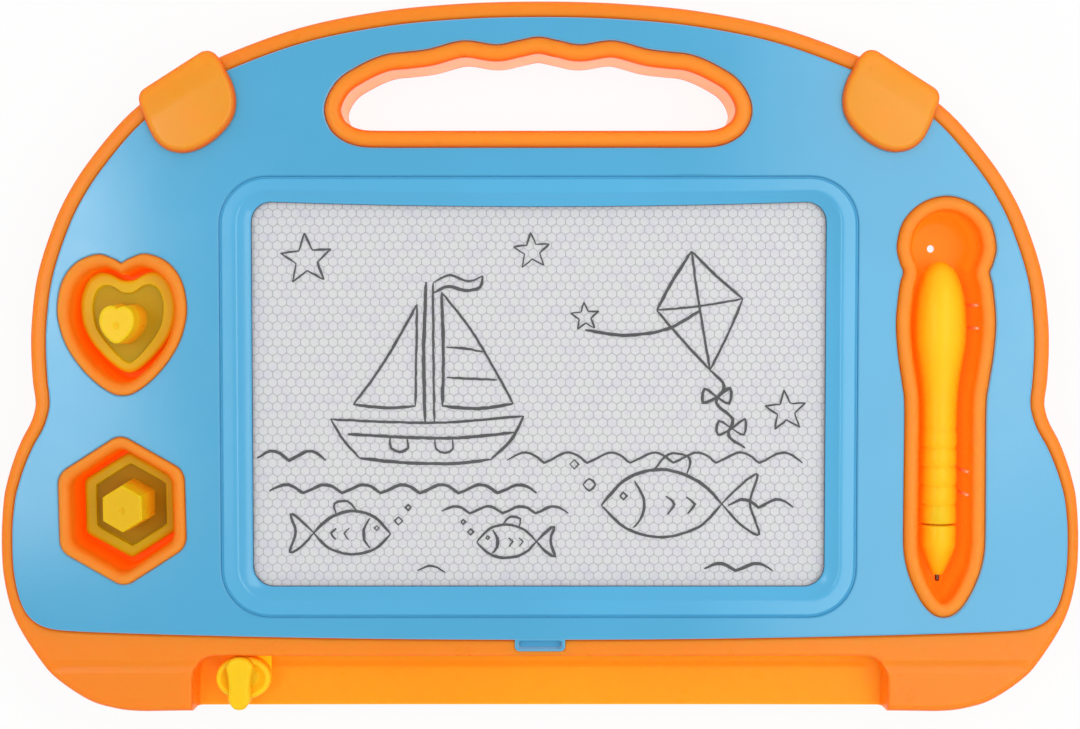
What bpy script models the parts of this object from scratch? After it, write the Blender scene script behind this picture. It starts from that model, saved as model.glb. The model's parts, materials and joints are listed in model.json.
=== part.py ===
"""A small magnetic drawing board with a carrying hole, a pen and two stamps, as separate pieces.

The board lies on its back: X runs along its width, Y up the picture and Z out of the screen.
The origin is at the middle of the back. Every length is in metres.
"""

import math

import bmesh
import bpy
from mathutils import Vector

# Whole board
BOARD_WIDTH = 0.262
BOARD_HEIGHT = 0.1727
HALF_WIDTH = BOARD_WIDTH / 2
HALF_HEIGHT = BOARD_HEIGHT / 2
SEAT_GAP = 0.0003
CUT_OVERRUN = 0.004

# Back cover
COVER_FLOOR = 0.002
COVER_WALL = 0.002
COVER_HEIGHT = 0.0077
COVER_EDGE_ROUND = 0.0018
COVER_BOSS_RADIUS = 0.0039
GUIDE_RIB_WIDTH = 0.0015
GUIDE_RIB_OVERHANG = 0.0044
SUPPORT_PILLAR_RADIUS = 0.003

# Main body: the side wall, the rim round the plate and the bar below it
BODY_WALL = 0.0022
RIM_WIDTH = 0.0028
RIM_ROUND = 0.0009
RIM_STEP = 0.0006
LEDGE_WIDTH = 0.0025
LEDGE_THICKNESS = 0.0015
BODY_BOSS_RADIUS = 0.0034
BAR_HEIGHT = 0.01665
PLATE_BOTTOM_BOW = 0.0019
PLATE_CORNER_SOFTNESS = 0.0028

# Front plate
PLATE_TOP = 0.021
PLATE_THICKNESS = 0.0025
LATCH_TAB_HALF_WIDTH = 0.00615
LATCH_TAB_REACH = 0.0019
LATCH_SCOOP_DEPTH = 0.0007
LATCH_SCOOP_MARGIN = 0.0011

# Flanges and raised rims of the pieces that sit in the plate
INSERT_RISE = 0.0008
FLANGE_WIDTH = 0.002
FLANGE_THICKNESS = 0.0012
CUP_WALL = 0.0013

# Slider recess in the bar
RECESS_WIDTH_SHARE = 0.6443
RECESS_OPENING = 0.01215
FOOT_DROP = 0.0014
RECESS_CORNER = 0.005
RECESS_WALL = 0.002
RECESS_ARM_CLEARANCE = 0.001

# Handle ring
HANDLE_WIDTH_SHARE = 0.3985
HANDLE_HEIGHT_SHARE = 0.154
HANDLE_CENTRE_SHARE = 0.7435
HANDLE_RING_WIDTH = 0.0042
HANDLE_RING_ROUND = 0.001
HANDLE_SLEEVE_WALL = 0.0018

# Screen and its surround
SCREEN_MARGIN = 0.0068
SCREEN_SIDE_MARGIN = 0.0091
WINDOW_CORNER = 0.004
BEZEL_SIDE = 0.0078
BEZEL_TOP_SIDE = 0.0067
BEZEL_CORNER = 0.0117
BEZEL_ROLL = 0.0032
BEZEL_FLANGE = 0.003
BEZEL_LIP = 0.0008
PANEL_MARGIN = 0.0051
PANEL_CORNER = 0.003
FILM_THICKNESS = 0.0003
HONEYCOMB_THICKNESS = 0.0015
RAIL_OVERLAP = 0.0031
RAIL_SIDE_GAP = 0.0006
RAIL_LIP_THICKNESS = 0.0012
RAIL_EXTRA_LENGTH = 0.002
RAIL_SCREW_INSET = 0.0169

# Eraser
ERASER_WIDTH = 0.007
ERASER_CHANNEL_WIDTH = 0.0046
ERASER_FLOOR = 0.0015
ERASER_END_GAP = 0.0006
ERASER_CHANNEL_END = 0.001
ARM_WIDTH = 0.010
ARM_THICKNESS = 0.0018
ARM_PAD_THICKNESS = 0.003
ARM_PAD_WIDTH = 0.008
ARM_END_MARGIN = 0.0006
STRIP_WIDTH = 0.004

# Slider knob
KNOB_REST_MARGIN = 0.00575
KNOB_HALF_WIDTH = 0.00675
KNOB_HALF_HEIGHT = 0.0053
KNOB_DISC_THICKNESS = 0.0036
KNOB_DISC_EDGE = 0.0009
KNOB_DISH_WIDTH = 0.0012
KNOB_DISH_DEPTH = 0.0012
KNOB_TOP = 0.0212
KNOB_RIB_HALF_WIDTH = 0.0033
KNOB_RIB_REACH = 0.0022
KNOB_RIB_ROUND = 0.0006

# Pen tray
TRAY_CENTRE_SHARE = 0.7542
TRAY_WIDTH_SHARE = 0.09237
TRAY_TOP_SHARE = 0.4459
TRAY_MARGIN = 0.006
TRAY_RIM_WIDTH = 0.0036
TRAY_RIM_ROUND = 0.0009
TRAY_FLOOR_TOP = 0.0068
TRAY_DRAFT = 0.0004
TETHER_HOLE_RADIUS = 0.001
TETHER_HOLE_X = -0.0039
PEN_CLIP_LENGTH = 0.0011
PEN_CLIP_THICKNESS = 0.0008
PEN_CLIP_SPACING = 0.0056
PEN_CLIP_UPPER_SHARE = 0.4344
PEN_CLIP_LOWER_SHARE = -0.36
PEN_CLIP_TOP = 0.0185

# Pen
PEN_TOP_MARGIN = 0.0155
PEN_END_MARGIN = 0.0102
PEN_SIDE_GAP = 0.0019
PEN_GRIP_SHARE = 0.6894
PEN_GRIP_SWELL = 0.0002
PEN_GRIP_GROOVE = 0.0003
PEN_TIP_LENGTH = 0.0126
PEN_TIP_END_RADIUS = 0.0014
PEN_TIP_STRAIGHT_SHARE = 0.42
PEN_TIP_SWELL_SHARE = 0.56
PEN_SPIGOT_RADIUS = 0.0028
PEN_SPIGOT_LENGTH = 0.004
NIB_RADIUS = 0.0009
NIB_REACH = 0.0017
NIB_DEPTH = 0.004
NIB_SHOULDER_SHARE = 0.6
NIB_CROWN_SHARE = 0.9

# Stamp pockets
HEART_PLACE_SHARES = (-0.7763, 0.0903)
HEART_SIZE_SHARES = (0.1195, 0.1992)
HEXAGON_PLACE_SHARES = (-0.7748, -0.4331)
HEXAGON_SIZE_SHARES = (0.1179, 0.2067)
HEXAGON_CORNER = 0.0042
POCKET_RIM_WIDTH = 0.0028
POCKET_RIM_ROUND = 0.0008
POCKET_DRAFT = 0.0007
POCKET_FLOOR_TOP = 0.008

# Stamps
STAMP_SIDE_GAP = 0.0004
STAMP_HEIGHT = 0.0057
STAMP_EDGE_ROUND = 0.0007
STAMP_RIM_WIDTH = 0.0024
STAMP_DISH_DEPTH = 0.0013
STAMP_MAGNET_MARGIN = 0.0018
STAMP_MAGNET_THICKNESS = 0.0015
STAMP_KNOB_TOP = 0.0275
STAMP_KNOB_EDGE = 0.0005
STAMP_KNOB_TAPER = 0.0004
STAMP_KNOB_DIMPLE = 0.0009
STAMP_DIMPLE_DEPTH = 0.0005
HEART_KNOB_SHARES = (0.262, 0.2733)
HEXAGON_KNOB_SHARES = (0.2977, 0.2969)

# Corner clips
CLIP_PLACE_SHARES = (0.6473, 0.7018)
CLIP_HALF_WIDTH = 0.0117
CLIP_HALF_HEIGHT = 0.0098
CLIP_THICKNESS = 0.0017
CLIP_EDGE_ROUND = 0.0007
CLIP_CROWN = 0.0002
CLIP_POST_RADIUS = 0.0032
CLIP_POST_INSET = 0.0036

# Screws
SCREW_RADIUS = 0.0013
SCREW_HEAD_RADIUS = 0.00275
SCREW_HEAD_HEIGHT = 0.0018
SCREW_SINK = 0.0014
BAR_BOSS_MARGIN = 0.0043
BODY_SCREW_LENGTH = 0.0105
BAR_SCREW_LENGTH = 0.0073
CLIP_SCREW_LENGTH = 0.0128
SMALL_SCREW_RADIUS = 0.0008
SMALL_HEAD_RADIUS = 0.0019
SMALL_HEAD_HEIGHT = 0.0008
KNOB_SCREW_RADIUS = 0.001
KNOB_SCREW_HEAD_RADIUS = 0.002
KNOB_SCREW_LENGTH = 0.0058
SCREW_POINT_SHARE = 0.35
SCREW_CROWN_SHARE = 0.8

# Turned and counted detail
CLIP_ANGLE = math.radians(32)
SMOOTH_ANGLE = math.radians(38)
OUTLINE_STEPS = 2
CORNER_STEPS = 5
ROUND_SIDES = 12
SCREW_SIDES = 10
PEN_SIDES = 18
GRIP_GROOVES = 4
KNOB_SIDES = 24
BORE_SIDES = 6
MITRE_LIMIT = 1.6
MERGE_DISTANCE = 0.000003
STRAIGHT_LIFT = 30

# Places and sizes across the face that follow from the board's size and the clearances above
PLATE_BOTTOM_EDGE = BAR_HEIGHT - HALF_HEIGHT
LATCH_TAB_END = PLATE_BOTTOM_EDGE - LATCH_TAB_REACH
RECESS_HALF_WIDTH = HALF_WIDTH * RECESS_WIDTH_SHARE
RECESS_BOTTOM = FOOT_DROP - HALF_HEIGHT
RECESS_TOP = RECESS_BOTTOM + RECESS_OPENING
HANDLE_HALF_WIDTH = HALF_WIDTH * HANDLE_WIDTH_SHARE
HANDLE_HALF_HEIGHT = HALF_HEIGHT * HANDLE_HEIGHT_SHARE
HANDLE_CENTRE_Y = HALF_HEIGHT * HANDLE_CENTRE_SHARE
TRAY_CENTRE_X = HALF_WIDTH * TRAY_CENTRE_SHARE
TRAY_HALF_WIDTH = HALF_WIDTH * TRAY_WIDTH_SHARE
TRAY_TOP = HALF_HEIGHT * TRAY_TOP_SHARE
TRAY_BOTTOM = PLATE_BOTTOM_EDGE + TRAY_MARGIN
TRAY_CENTRE_Y = (TRAY_TOP + TRAY_BOTTOM) / 2
TRAY_HALF_LENGTH = (TRAY_TOP - TRAY_BOTTOM) / 2
BEZEL_TOP = HANDLE_CENTRE_Y - HANDLE_HALF_HEIGHT - SCREEN_MARGIN
BEZEL_BOTTOM = PLATE_BOTTOM_EDGE + SCREEN_MARGIN
SCREEN_CENTRE_Y = (BEZEL_TOP + BEZEL_BOTTOM) / 2
BEZEL_HALF_HEIGHT = (BEZEL_TOP - BEZEL_BOTTOM) / 2
BEZEL_HALF_WIDTH = TRAY_CENTRE_X - TRAY_HALF_WIDTH - SCREEN_SIDE_MARGIN
WINDOW_HALF_WIDTH = BEZEL_HALF_WIDTH - BEZEL_SIDE
WINDOW_HALF_HEIGHT = BEZEL_HALF_HEIGHT - BEZEL_TOP_SIDE
GUIDE_RIB_HALF_LENGTH = BEZEL_HALF_WIDTH + GUIDE_RIB_OVERHANG
PEN_TOP_Y = TRAY_TOP - PEN_TOP_MARGIN
PEN_LENGTH = 2 * TRAY_HALF_LENGTH - PEN_TOP_MARGIN - PEN_END_MARGIN
PEN_RADIUS = TRAY_HALF_WIDTH - TRAY_RIM_WIDTH - PEN_SIDE_GAP
PEN_GRIP_RADIUS = PEN_RADIUS * PEN_GRIP_SHARE
HEART_POCKET_X = HALF_WIDTH * HEART_PLACE_SHARES[0]
HEART_POCKET_Y = HALF_HEIGHT * HEART_PLACE_SHARES[1]
HEART_POCKET_HALF_WIDTH = HALF_WIDTH * HEART_SIZE_SHARES[0]
HEART_POCKET_HALF_HEIGHT = HALF_HEIGHT * HEART_SIZE_SHARES[1]
HEXAGON_POCKET_X = HALF_WIDTH * HEXAGON_PLACE_SHARES[0]
HEXAGON_POCKET_Y = HALF_HEIGHT * HEXAGON_PLACE_SHARES[1]
HEXAGON_POCKET_HALF_WIDTH = HALF_WIDTH * HEXAGON_SIZE_SHARES[0]
HEXAGON_POCKET_HALF_HEIGHT = HALF_HEIGHT * HEXAGON_SIZE_SHARES[1]
HEART_KNOB_HALF_WIDTH = HEART_POCKET_HALF_WIDTH * HEART_KNOB_SHARES[0]
HEART_KNOB_HALF_HEIGHT = HEART_POCKET_HALF_HEIGHT * HEART_KNOB_SHARES[1]
HEXAGON_KNOB_HALF_WIDTH = HEXAGON_POCKET_HALF_WIDTH * HEXAGON_KNOB_SHARES[0]
HEXAGON_KNOB_HALF_HEIGHT = HEXAGON_POCKET_HALF_HEIGHT * HEXAGON_KNOB_SHARES[1]
CLIP_CENTRE_X = HALF_WIDTH * CLIP_PLACE_SHARES[0]
CLIP_CENTRE_Y = HALF_HEIGHT * CLIP_PLACE_SHARES[1]

# Heights that follow from the sizes above
PLATE_BOTTOM = PLATE_TOP - PLATE_THICKNESS
RIM_TOP = PLATE_TOP - RIM_STEP
INSERT_TOP = PLATE_TOP + INSERT_RISE
FLANGE_TOP = PLATE_BOTTOM - SEAT_GAP
FLANGE_BOTTOM = FLANGE_TOP - FLANGE_THICKNESS
LEDGE_TOP = PLATE_BOTTOM - SEAT_GAP
LEDGE_BOTTOM = LEDGE_TOP - LEDGE_THICKNESS
BODY_BOTTOM = COVER_HEIGHT + SEAT_GAP
FRONT_FILM_TOP = PLATE_BOTTOM - SEAT_GAP
FRONT_FILM_BOTTOM = FRONT_FILM_TOP - FILM_THICKNESS
HONEYCOMB_TOP = FRONT_FILM_BOTTOM - SEAT_GAP
HONEYCOMB_BOTTOM = HONEYCOMB_TOP - HONEYCOMB_THICKNESS
BACK_FILM_TOP = HONEYCOMB_BOTTOM - SEAT_GAP
BACK_FILM_BOTTOM = BACK_FILM_TOP - FILM_THICKNESS
RAIL_LIP_TOP = BACK_FILM_BOTTOM - SEAT_GAP
RAIL_BOTTOM = RAIL_LIP_TOP - RAIL_LIP_THICKNESS
RAIL_TOP = FLANGE_BOTTOM - SEAT_GAP
ARM_TOP = RAIL_BOTTOM - SEAT_GAP
ARM_BOTTOM = ARM_TOP - ARM_THICKNESS
RECESS_FACE = ARM_BOTTOM - SEAT_GAP
ERASER_TOP = BACK_FILM_BOTTOM - SEAT_GAP
ARM_PAD_TOP = ARM_BOTTOM + ARM_PAD_THICKNESS
KNOB_BOTTOM = ARM_PAD_TOP + SEAT_GAP
STAMP_BOTTOM = POCKET_FLOOR_TOP + SEAT_GAP
STAMP_TOP = STAMP_BOTTOM + STAMP_HEIGHT
STAMP_DISH = STAMP_TOP - STAMP_DISH_DEPTH
STAMP_POCKET_ROOF = STAMP_BOTTOM + STAMP_MAGNET_THICKNESS + SEAT_GAP
TRAY_FLOOR_BOTTOM = TRAY_FLOOR_TOP - CUP_WALL
POCKET_FLOOR_BOTTOM = POCKET_FLOOR_TOP - CUP_WALL
PEN_AXIS_Z = TRAY_FLOOR_TOP + SEAT_GAP + PEN_RADIUS
SCREW_SEAT = SCREW_SINK + SCREW_HEAD_HEIGHT
HOLE_RADIUS = SCREW_RADIUS + SEAT_GAP
COUNTERBORE_RADIUS = SCREW_HEAD_RADIUS + SEAT_GAP
KNOB_CENTRE_Y = RECESS_TOP - SEAT_GAP - KNOB_HALF_HEIGHT
KNOB_REST_X = KNOB_REST_MARGIN + KNOB_HALF_WIDTH - RECESS_HALF_WIDTH
RAIL_OUTER_Y = BEZEL_HALF_HEIGHT + BEZEL_FLANGE
PANEL_HALF_WIDTH = WINDOW_HALF_WIDTH + PANEL_MARGIN
PANEL_HALF_HEIGHT = WINDOW_HALF_HEIGHT + PANEL_MARGIN
RAIL_INNER_Y = PANEL_HALF_HEIGHT - RAIL_OVERLAP
RAIL_BASE_Y = PANEL_HALF_HEIGHT + RAIL_SIDE_GAP
RAIL_SCREW_Y = (RAIL_BASE_Y + RAIL_OUTER_Y) / 2
RAIL_SCREW_X = PANEL_HALF_WIDTH - RAIL_SCREW_INSET
ERASER_HALF_LENGTH = RAIL_INNER_Y - ERASER_END_GAP

# Half outlines from the top centre down the right-hand side, as shares of the half width and half height
BOARD_SHARES = (
    (0.0, 1.0), (0.200, 0.983), (0.405, 0.921), (0.585, 0.845), (0.680, 0.777), (0.762, 0.681),
    (0.838, 0.554), (0.905, 0.357), (0.938, 0.150), (0.944, 0.032), (0.937, -0.146), (0.946, -0.187),
    (0.968, -0.253), (0.992, -0.370), (1.0, -0.518), (0.988, -0.662), (0.964, -0.750), (0.924, -0.851),
    (0.872, -0.936), (0.810, -0.984), (0.758, -1.0), (0.645, -0.998), (0.3, -0.996), (0.0, -0.996),
)
HANDLE_SHARES = (
    (0.0, 1.0), (0.10, 0.93), (0.197, 0.861), (0.347, 0.94), (0.529, 0.759), (0.759, 0.695), (0.887, 0.45),
    (0.975, 0.09), (1.0, -0.312), (0.97, -0.68), (0.897, -0.93), (0.78, -0.998), (0.4, -1.0), (0.0, -1.0),
)
TRAY_SHARES = (
    (0.0, 1.0), (0.498, 0.967), (0.863, 0.881), (0.997, 0.763), (0.93, 0.68), (0.866, 0.636), (0.934, 0.569),
    (1.0, 0.403), (0.955, 0.247), (0.868, 0.11), (0.818, 0.0), (0.818, -0.34), (0.818, -0.691),
    (0.636, -0.83), (0.355, -0.953), (0.0, -1.0),
)
HEART_SHARES = (
    (0.0, 0.885), (0.16, 0.955), (0.35, 1.0), (0.70, 0.865), (0.92, 0.62), (1.0, 0.24), (0.945, -0.09),
    (0.81, -0.38), (0.59, -0.655), (0.36, -0.855), (0.15, -0.975), (0.0, -1.0),
)
CLIP_SHARES = (
    (0.0, 1.0), (0.76, 1.0), (0.96, 0.80), (1.0, 0.30), (0.95, -0.27), (0.73, -0.64), (0.40, -0.91),
    (0.0, -1.0),
)
RIB_SHARES = (
    (0.0, 1.0), (0.60, 0.93), (1.0, 0.66), (0.88, 0.30), (0.80, -0.10), (0.84, -0.45), (0.80, -0.66),
    (0.45, -0.93), (0.0, -1.0),
)

# The pen's barrel above its grip, as shares of its length and of its widest radius, and its grip below
PEN_BODY_SHARES = (
    (0.0, 0.0), (0.02, 0.34), (0.06, 0.60), (0.14, 0.86), (0.26, 1.0), (0.38, 1.0), (0.54, 0.89),
)
PEN_GRIP_START_SHARE = 0.60
GRIP_GROOVE_SHARE = 0.08
GRIP_SWELL_START_SHARE = 0.30
GRIP_SWELL_END_SHARE = 0.75

# Screw places, as shares of the board's half width and half height; each is there on both sides
UPPER_BOSS_SHARES = (0.462, 0.828)
WAIST_BOSS_SHARES = (0.8855, -0.145)
LOWER_BOSS_SHARES = (0.922, -0.70)
BAR_BOSS_SHARES = (0.4634, (RECESS_BOTTOM + BAR_BOSS_MARGIN) / HALF_HEIGHT)


def clear_scene():
    """Removes every object that is already in the scene."""
    for old in list(bpy.data.objects):
        bpy.data.objects.remove(old, do_unlink=True)


def new_collection(name, hidden=False):
    """Makes a collection in the scene."""
    collection = bpy.data.collections.new(name)
    bpy.context.scene.collection.children.link(collection)
    collection.hide_render = hidden
    return collection


clear_scene()
BOARD = new_collection("magnetic_drawing_board")
CUTTERS = new_collection("cutters", hidden=True)


def material(name, colour, roughness, metallic=0.0, transmission=0.0):
    """Makes one plain finish."""
    finish = bpy.data.materials.new(name)
    finish.use_nodes = True
    shader = finish.node_tree.nodes["Principled BSDF"]
    shader.inputs["Base Color"].default_value = (*colour, 1.0)
    shader.inputs["Roughness"].default_value = roughness
    shader.inputs["Metallic"].default_value = metallic
    shader.inputs["Transmission Weight"].default_value = transmission
    return finish


def blue_plastic():
    """Glossy sky blue of the plate and the screen surround."""
    return material("blue_plastic", (0.098, 0.418, 0.686), 0.28)


def orange_plastic():
    """Satin orange of the shells, the trays and the handle."""
    return material("orange_plastic", (1.0, 0.262, 0.021), 0.36)


def yellow_plastic():
    """Satin yellow of the pen, the stamps and the knob."""
    return material("yellow_plastic", (0.956, 0.604, 0.026), 0.34)


def clear_film():
    """Clear sheet over the front of the screen."""
    return material("clear_film", (0.82, 0.83, 0.85), 0.22, transmission=0.6)


def pale_honeycomb():
    """Milky cell panel that holds the grey liquid."""
    return material("pale_honeycomb", (0.70, 0.71, 0.73), 0.5)


def white_film():
    """White sheet that closes the back of the cells."""
    return material("white_film", (0.72, 0.73, 0.74), 0.45)


def steel():
    """Zinc-plated screw steel."""
    return material("screw_steel", (0.55, 0.56, 0.58), 0.35, metallic=1.0)


def dark_metal():
    """Dark metal of the pen's magnetic point."""
    return material("dark_metal", (0.08, 0.08, 0.085), 0.4, metallic=1.0)


def magnet_black():
    """Dark bonded magnet."""
    return material("magnet_black", (0.03, 0.03, 0.035), 0.6)


def smoothed(half, sharp_top=False):
    """Runs a Catmull-Rom curve through a right-hand half outline, with a corner at the top if asked for."""
    points = [Vector(point) for point in half]
    before = points[0] * 2 - points[1] if sharp_top else Vector((-points[1].x, points[1].y))
    after = Vector((-points[-2].x, points[-2].y))
    run = [before, *points, after]
    smooth = []
    for a, b, c, d in zip(run, run[1:], run[2:], run[3:]):
        for step in range(OUTLINE_STEPS):
            t = step / OUTLINE_STEPS
            bend = (2 * a - 5 * b + 4 * c - d) * t**2
            twist = (3 * b - a - 3 * c + d) * t**3
            smooth.append((2 * b + (c - a) * t + bend + twist) / 2)
    return [*smooth, points[-1]]


def fitted(points, half_width, half_height):
    """Scales an outline so that its box has these half sides and its middle is at zero."""
    low = Vector((min(p.x for p in points), min(p.y for p in points)))
    high = Vector((max(p.x for p in points), max(p.y for p in points)))
    middle = (low + high) / 2
    grow_x = half_width * 2 / (high.x - low.x)
    grow_y = half_height * 2 / (high.y - low.y)
    return [Vector(((p.x - middle.x) * grow_x, (p.y - middle.y) * grow_y)) for p in points]


def mirrored_outline(shares, half_width, half_height, sharp_top=False):
    """Closes a half outline of shares with its mirror image, at its real size."""
    right = smoothed(shares, sharp_top)
    left = [Vector((-p.x, p.y)) for p in reversed(right[1:-1])]
    return fitted(right + left, half_width, half_height)


def offset(points, distance):
    """Moves a closed outline outwards by a distance, or inwards if it is negative."""
    count = len(points)
    area = sum(points[i].cross(points[(i + 1) % count]) for i in range(count))
    side = 1.0 if area > 0 else -1.0
    moved = []
    for i, point in enumerate(points):
        before = (point - points[i - 1]).normalized()
        after = (points[(i + 1) % count] - point).normalized()
        first = Vector((before.y, -before.x)) * side
        second = Vector((after.y, -after.x)) * side
        mitre = (first + second) / (1 + first.dot(second))
        if mitre.length > MITRE_LIMIT:
            mitre = mitre.normalized() * MITRE_LIMIT
        moved.append(point + mitre * distance)
    return moved


def inset_fit(points, inset):
    """Shrinks an outline about its middle until each side of its box is in by this much."""
    reach_x = max(p.x for p in points)
    reach_y = max(p.y for p in points)
    return [Vector((p.x * (1 - inset / reach_x), p.y * (1 - inset / reach_y))) for p in points]


def placed(points, x, y):
    """Moves an outline to its centre."""
    return [p + Vector((x, y)) for p in points]


def rounded_rectangle(half_width, half_height, corner):
    """Gives a rectangle with round corners about zero."""
    points = []
    for quarter in range(4):
        sign_x = 1 if quarter in (0, 3) else -1
        sign_y = 1 if quarter in (0, 1) else -1
        centre = Vector(((half_width - corner) * sign_x, (half_height - corner) * sign_y))
        for step in range(CORNER_STEPS):
            angle = math.pi / 2 * (quarter + step / (CORNER_STEPS - 1))
            points.append(centre + Vector((math.cos(angle), math.sin(angle))) * corner)
    return points


def rounded_hexagon(half_width, half_height, corner):
    """Gives a hexagon that stands on a corner, with round corners, about zero."""
    arm = (half_width - corner) / math.cos(math.pi / 6)
    points = []
    for side in range(6):
        middle = math.pi / 6 + math.pi / 3 * side
        centre = Vector((math.cos(middle), math.sin(middle))) * arm
        for step in range(3):
            angle = middle + math.pi / 6 * (step - 1)
            points.append(centre + Vector((math.cos(angle), math.sin(angle))) * corner)
    return fitted(points, half_width, half_height)


def ellipse(half_width, half_height, sides=KNOB_SIDES):
    """Gives an ellipse about zero."""
    turns = [2 * math.pi * i / sides for i in range(sides)]
    return [Vector((math.cos(t) * half_width, math.sin(t) * half_height)) for t in turns]


def board_outline():
    """Gives the outer outline of both shells."""
    return mirrored_outline(BOARD_SHARES, HALF_WIDTH, HALF_HEIGHT)


def plate_outline():
    """Gives the plate's edge: the board's outline, in by the rim, with the bar left off below."""
    edge = []
    for point in offset(board_outline(), -RIM_WIDTH):
        bottom = PLATE_BOTTOM_EDGE + PLATE_BOTTOM_BOW * (point.x / HALF_WIDTH) ** 2
        lift = (point.y - bottom) / PLATE_CORNER_SOFTNESS
        softened = math.log1p(math.exp(lift)) if lift < STRAIGHT_LIFT else lift
        edge.append(Vector((point.x, bottom + softened * PLATE_CORNER_SOFTNESS)))
    return edge


def handle_outline():
    """Gives the outer edge of the handle ring about the handle's own centre."""
    return mirrored_outline(HANDLE_SHARES, HANDLE_HALF_WIDTH, HANDLE_HALF_HEIGHT)


def tray_outline():
    """Gives the outer edge of the pen tray's rim about the tray's own centre."""
    return mirrored_outline(TRAY_SHARES, TRAY_HALF_WIDTH, TRAY_HALF_LENGTH)


def heart(half_width, half_height):
    """Gives a plump heart about its own centre."""
    return mirrored_outline(HEART_SHARES, half_width, half_height, sharp_top=True)


def heart_pocket_outline():
    """Gives the outer edge of the heart pocket's rim."""
    return heart(HEART_POCKET_HALF_WIDTH, HEART_POCKET_HALF_HEIGHT)


def hexagon_pocket_outline():
    """Gives the outer edge of the hexagon pocket's rim."""
    return rounded_hexagon(HEXAGON_POCKET_HALF_WIDTH, HEXAGON_POCKET_HALF_HEIGHT, HEXAGON_CORNER)


def finish_object(name, mesh, finish, collection):
    """Makes an object of a mesh, with its material and its shading."""
    if finish is not None:
        mesh.materials.append(finish)
    mesh.shade_smooth()
    mesh.set_sharp_from_angle(angle=SMOOTH_ANGLE)
    made = bpy.data.objects.new(name, mesh)
    collection.objects.link(made)
    if collection is CUTTERS:
        made.hide_render = True
        made.display_type = "WIRE"
    return made


def loft(name, rings, finish=None, looped=False, collection=None):
    """Skins outlines of equal count, each at its height, and caps them or joins the last to the first."""
    mesh = bpy.data.meshes.new(name)
    shape = bmesh.new()
    rows = [[shape.verts.new((p.x, p.y, height)) for p in outline] for outline, height in rings]
    count = len(rows[0])
    pairs = list(zip(rows, rows[1:]))
    if looped:
        pairs.append((rows[-1], rows[0]))
    for low, high in pairs:
        for i in range(count):
            shape.faces.new((low[i], low[(i + 1) % count], high[(i + 1) % count], high[i]))
    if not looped:
        shape.faces.new(rows[0])
        shape.faces.new(rows[-1])
    bmesh.ops.recalc_face_normals(shape, faces=shape.faces)
    shape.to_mesh(mesh)
    shape.free()
    return finish_object(name, mesh, finish, collection or BOARD)


def sheet(name, outlines, low, high, finish=None, collection=None):
    """Cuts a flat sheet to an outline, with holes where more outlines follow, and gives it its thickness."""
    curve = bpy.data.curves.new(name + "_outline", "CURVE")
    curve.dimensions = "2D"
    curve.fill_mode = "BOTH"
    curve.extrude = (high - low) / 2
    for outline in outlines:
        spline = curve.splines.new("POLY")
        spline.points.add(len(outline) - 1)
        for target, point in zip(spline.points, outline):
            target.co = (point.x, point.y, 0, 1)
        spline.use_cyclic_u = True
    guide = bpy.data.objects.new(name + "_guide", curve)
    BOARD.objects.link(guide)
    bpy.context.view_layer.update()
    graph = bpy.context.evaluated_depsgraph_get()
    mesh = bpy.data.meshes.new_from_object(guide.evaluated_get(graph))
    mesh.name = name
    bpy.data.objects.remove(guide, do_unlink=True)
    shape = bmesh.new()
    shape.from_mesh(mesh)
    bmesh.ops.remove_doubles(shape, verts=shape.verts, dist=MERGE_DISTANCE)
    bmesh.ops.translate(shape, verts=shape.verts, vec=(0, 0, (low + high) / 2))
    bmesh.ops.recalc_face_normals(shape, faces=shape.faces)
    shape.to_mesh(mesh)
    shape.free()
    return finish_object(name, mesh, finish, collection or BOARD)


def block(name, x_range, y_range, z_range, finish=None, collection=None):
    """Makes a box from its lowest and highest sides."""
    mesh = bpy.data.meshes.new(name)
    shape = bmesh.new()
    bmesh.ops.create_cube(shape, size=1)
    sides = [high - low for low, high in (x_range, y_range, z_range)]
    centre = [(high + low) / 2 for low, high in (x_range, y_range, z_range)]
    bmesh.ops.scale(shape, verts=shape.verts, vec=sides)
    bmesh.ops.translate(shape, verts=shape.verts, vec=centre)
    shape.to_mesh(mesh)
    shape.free()
    return finish_object(name, mesh, finish, collection or CUTTERS)


def rod(name, x, y, radius, low, high, collection=None, sides=ROUND_SIDES):
    """Makes an upright cylinder."""
    mesh = bpy.data.meshes.new(name)
    shape = bmesh.new()
    depth = high - low
    bmesh.ops.create_cone(shape, cap_ends=True, segments=sides, radius1=radius, radius2=radius, depth=depth)
    bmesh.ops.translate(shape, verts=shape.verts, vec=(x, y, (low + high) / 2))
    shape.to_mesh(mesh)
    shape.free()
    return finish_object(name, mesh, None, collection or CUTTERS)


def turned(name, profile, finish=None, sides=ROUND_SIDES, collection=None):
    """Turns a profile of radius and height round the upright axis, from its top to its bottom."""
    mesh = bpy.data.meshes.new(name)
    edges = [(i, i + 1) for i in range(len(profile) - 1)]
    mesh.from_pydata([(radius, 0, height) for radius, height in profile], edges, [])
    if finish is not None:
        mesh.materials.append(finish)
    made = bpy.data.objects.new(name, mesh)
    (collection or BOARD).objects.link(made)
    screw = made.modifiers.new("turn", "SCREW")
    screw.axis = "Z"
    screw.angle = 2 * math.pi
    screw.steps = sides
    screw.render_steps = sides
    screw.use_merge_vertices = True
    screw.merge_threshold = MERGE_DISTANCE
    screw.use_smooth_shade = True
    return made


def combine(target, others, operation):
    """Joins other shapes to a piece, or cuts them from it."""
    for other in others:
        step = target.modifiers.new(other.name, "BOOLEAN")
        step.operation = operation
        step.object = other


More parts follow.
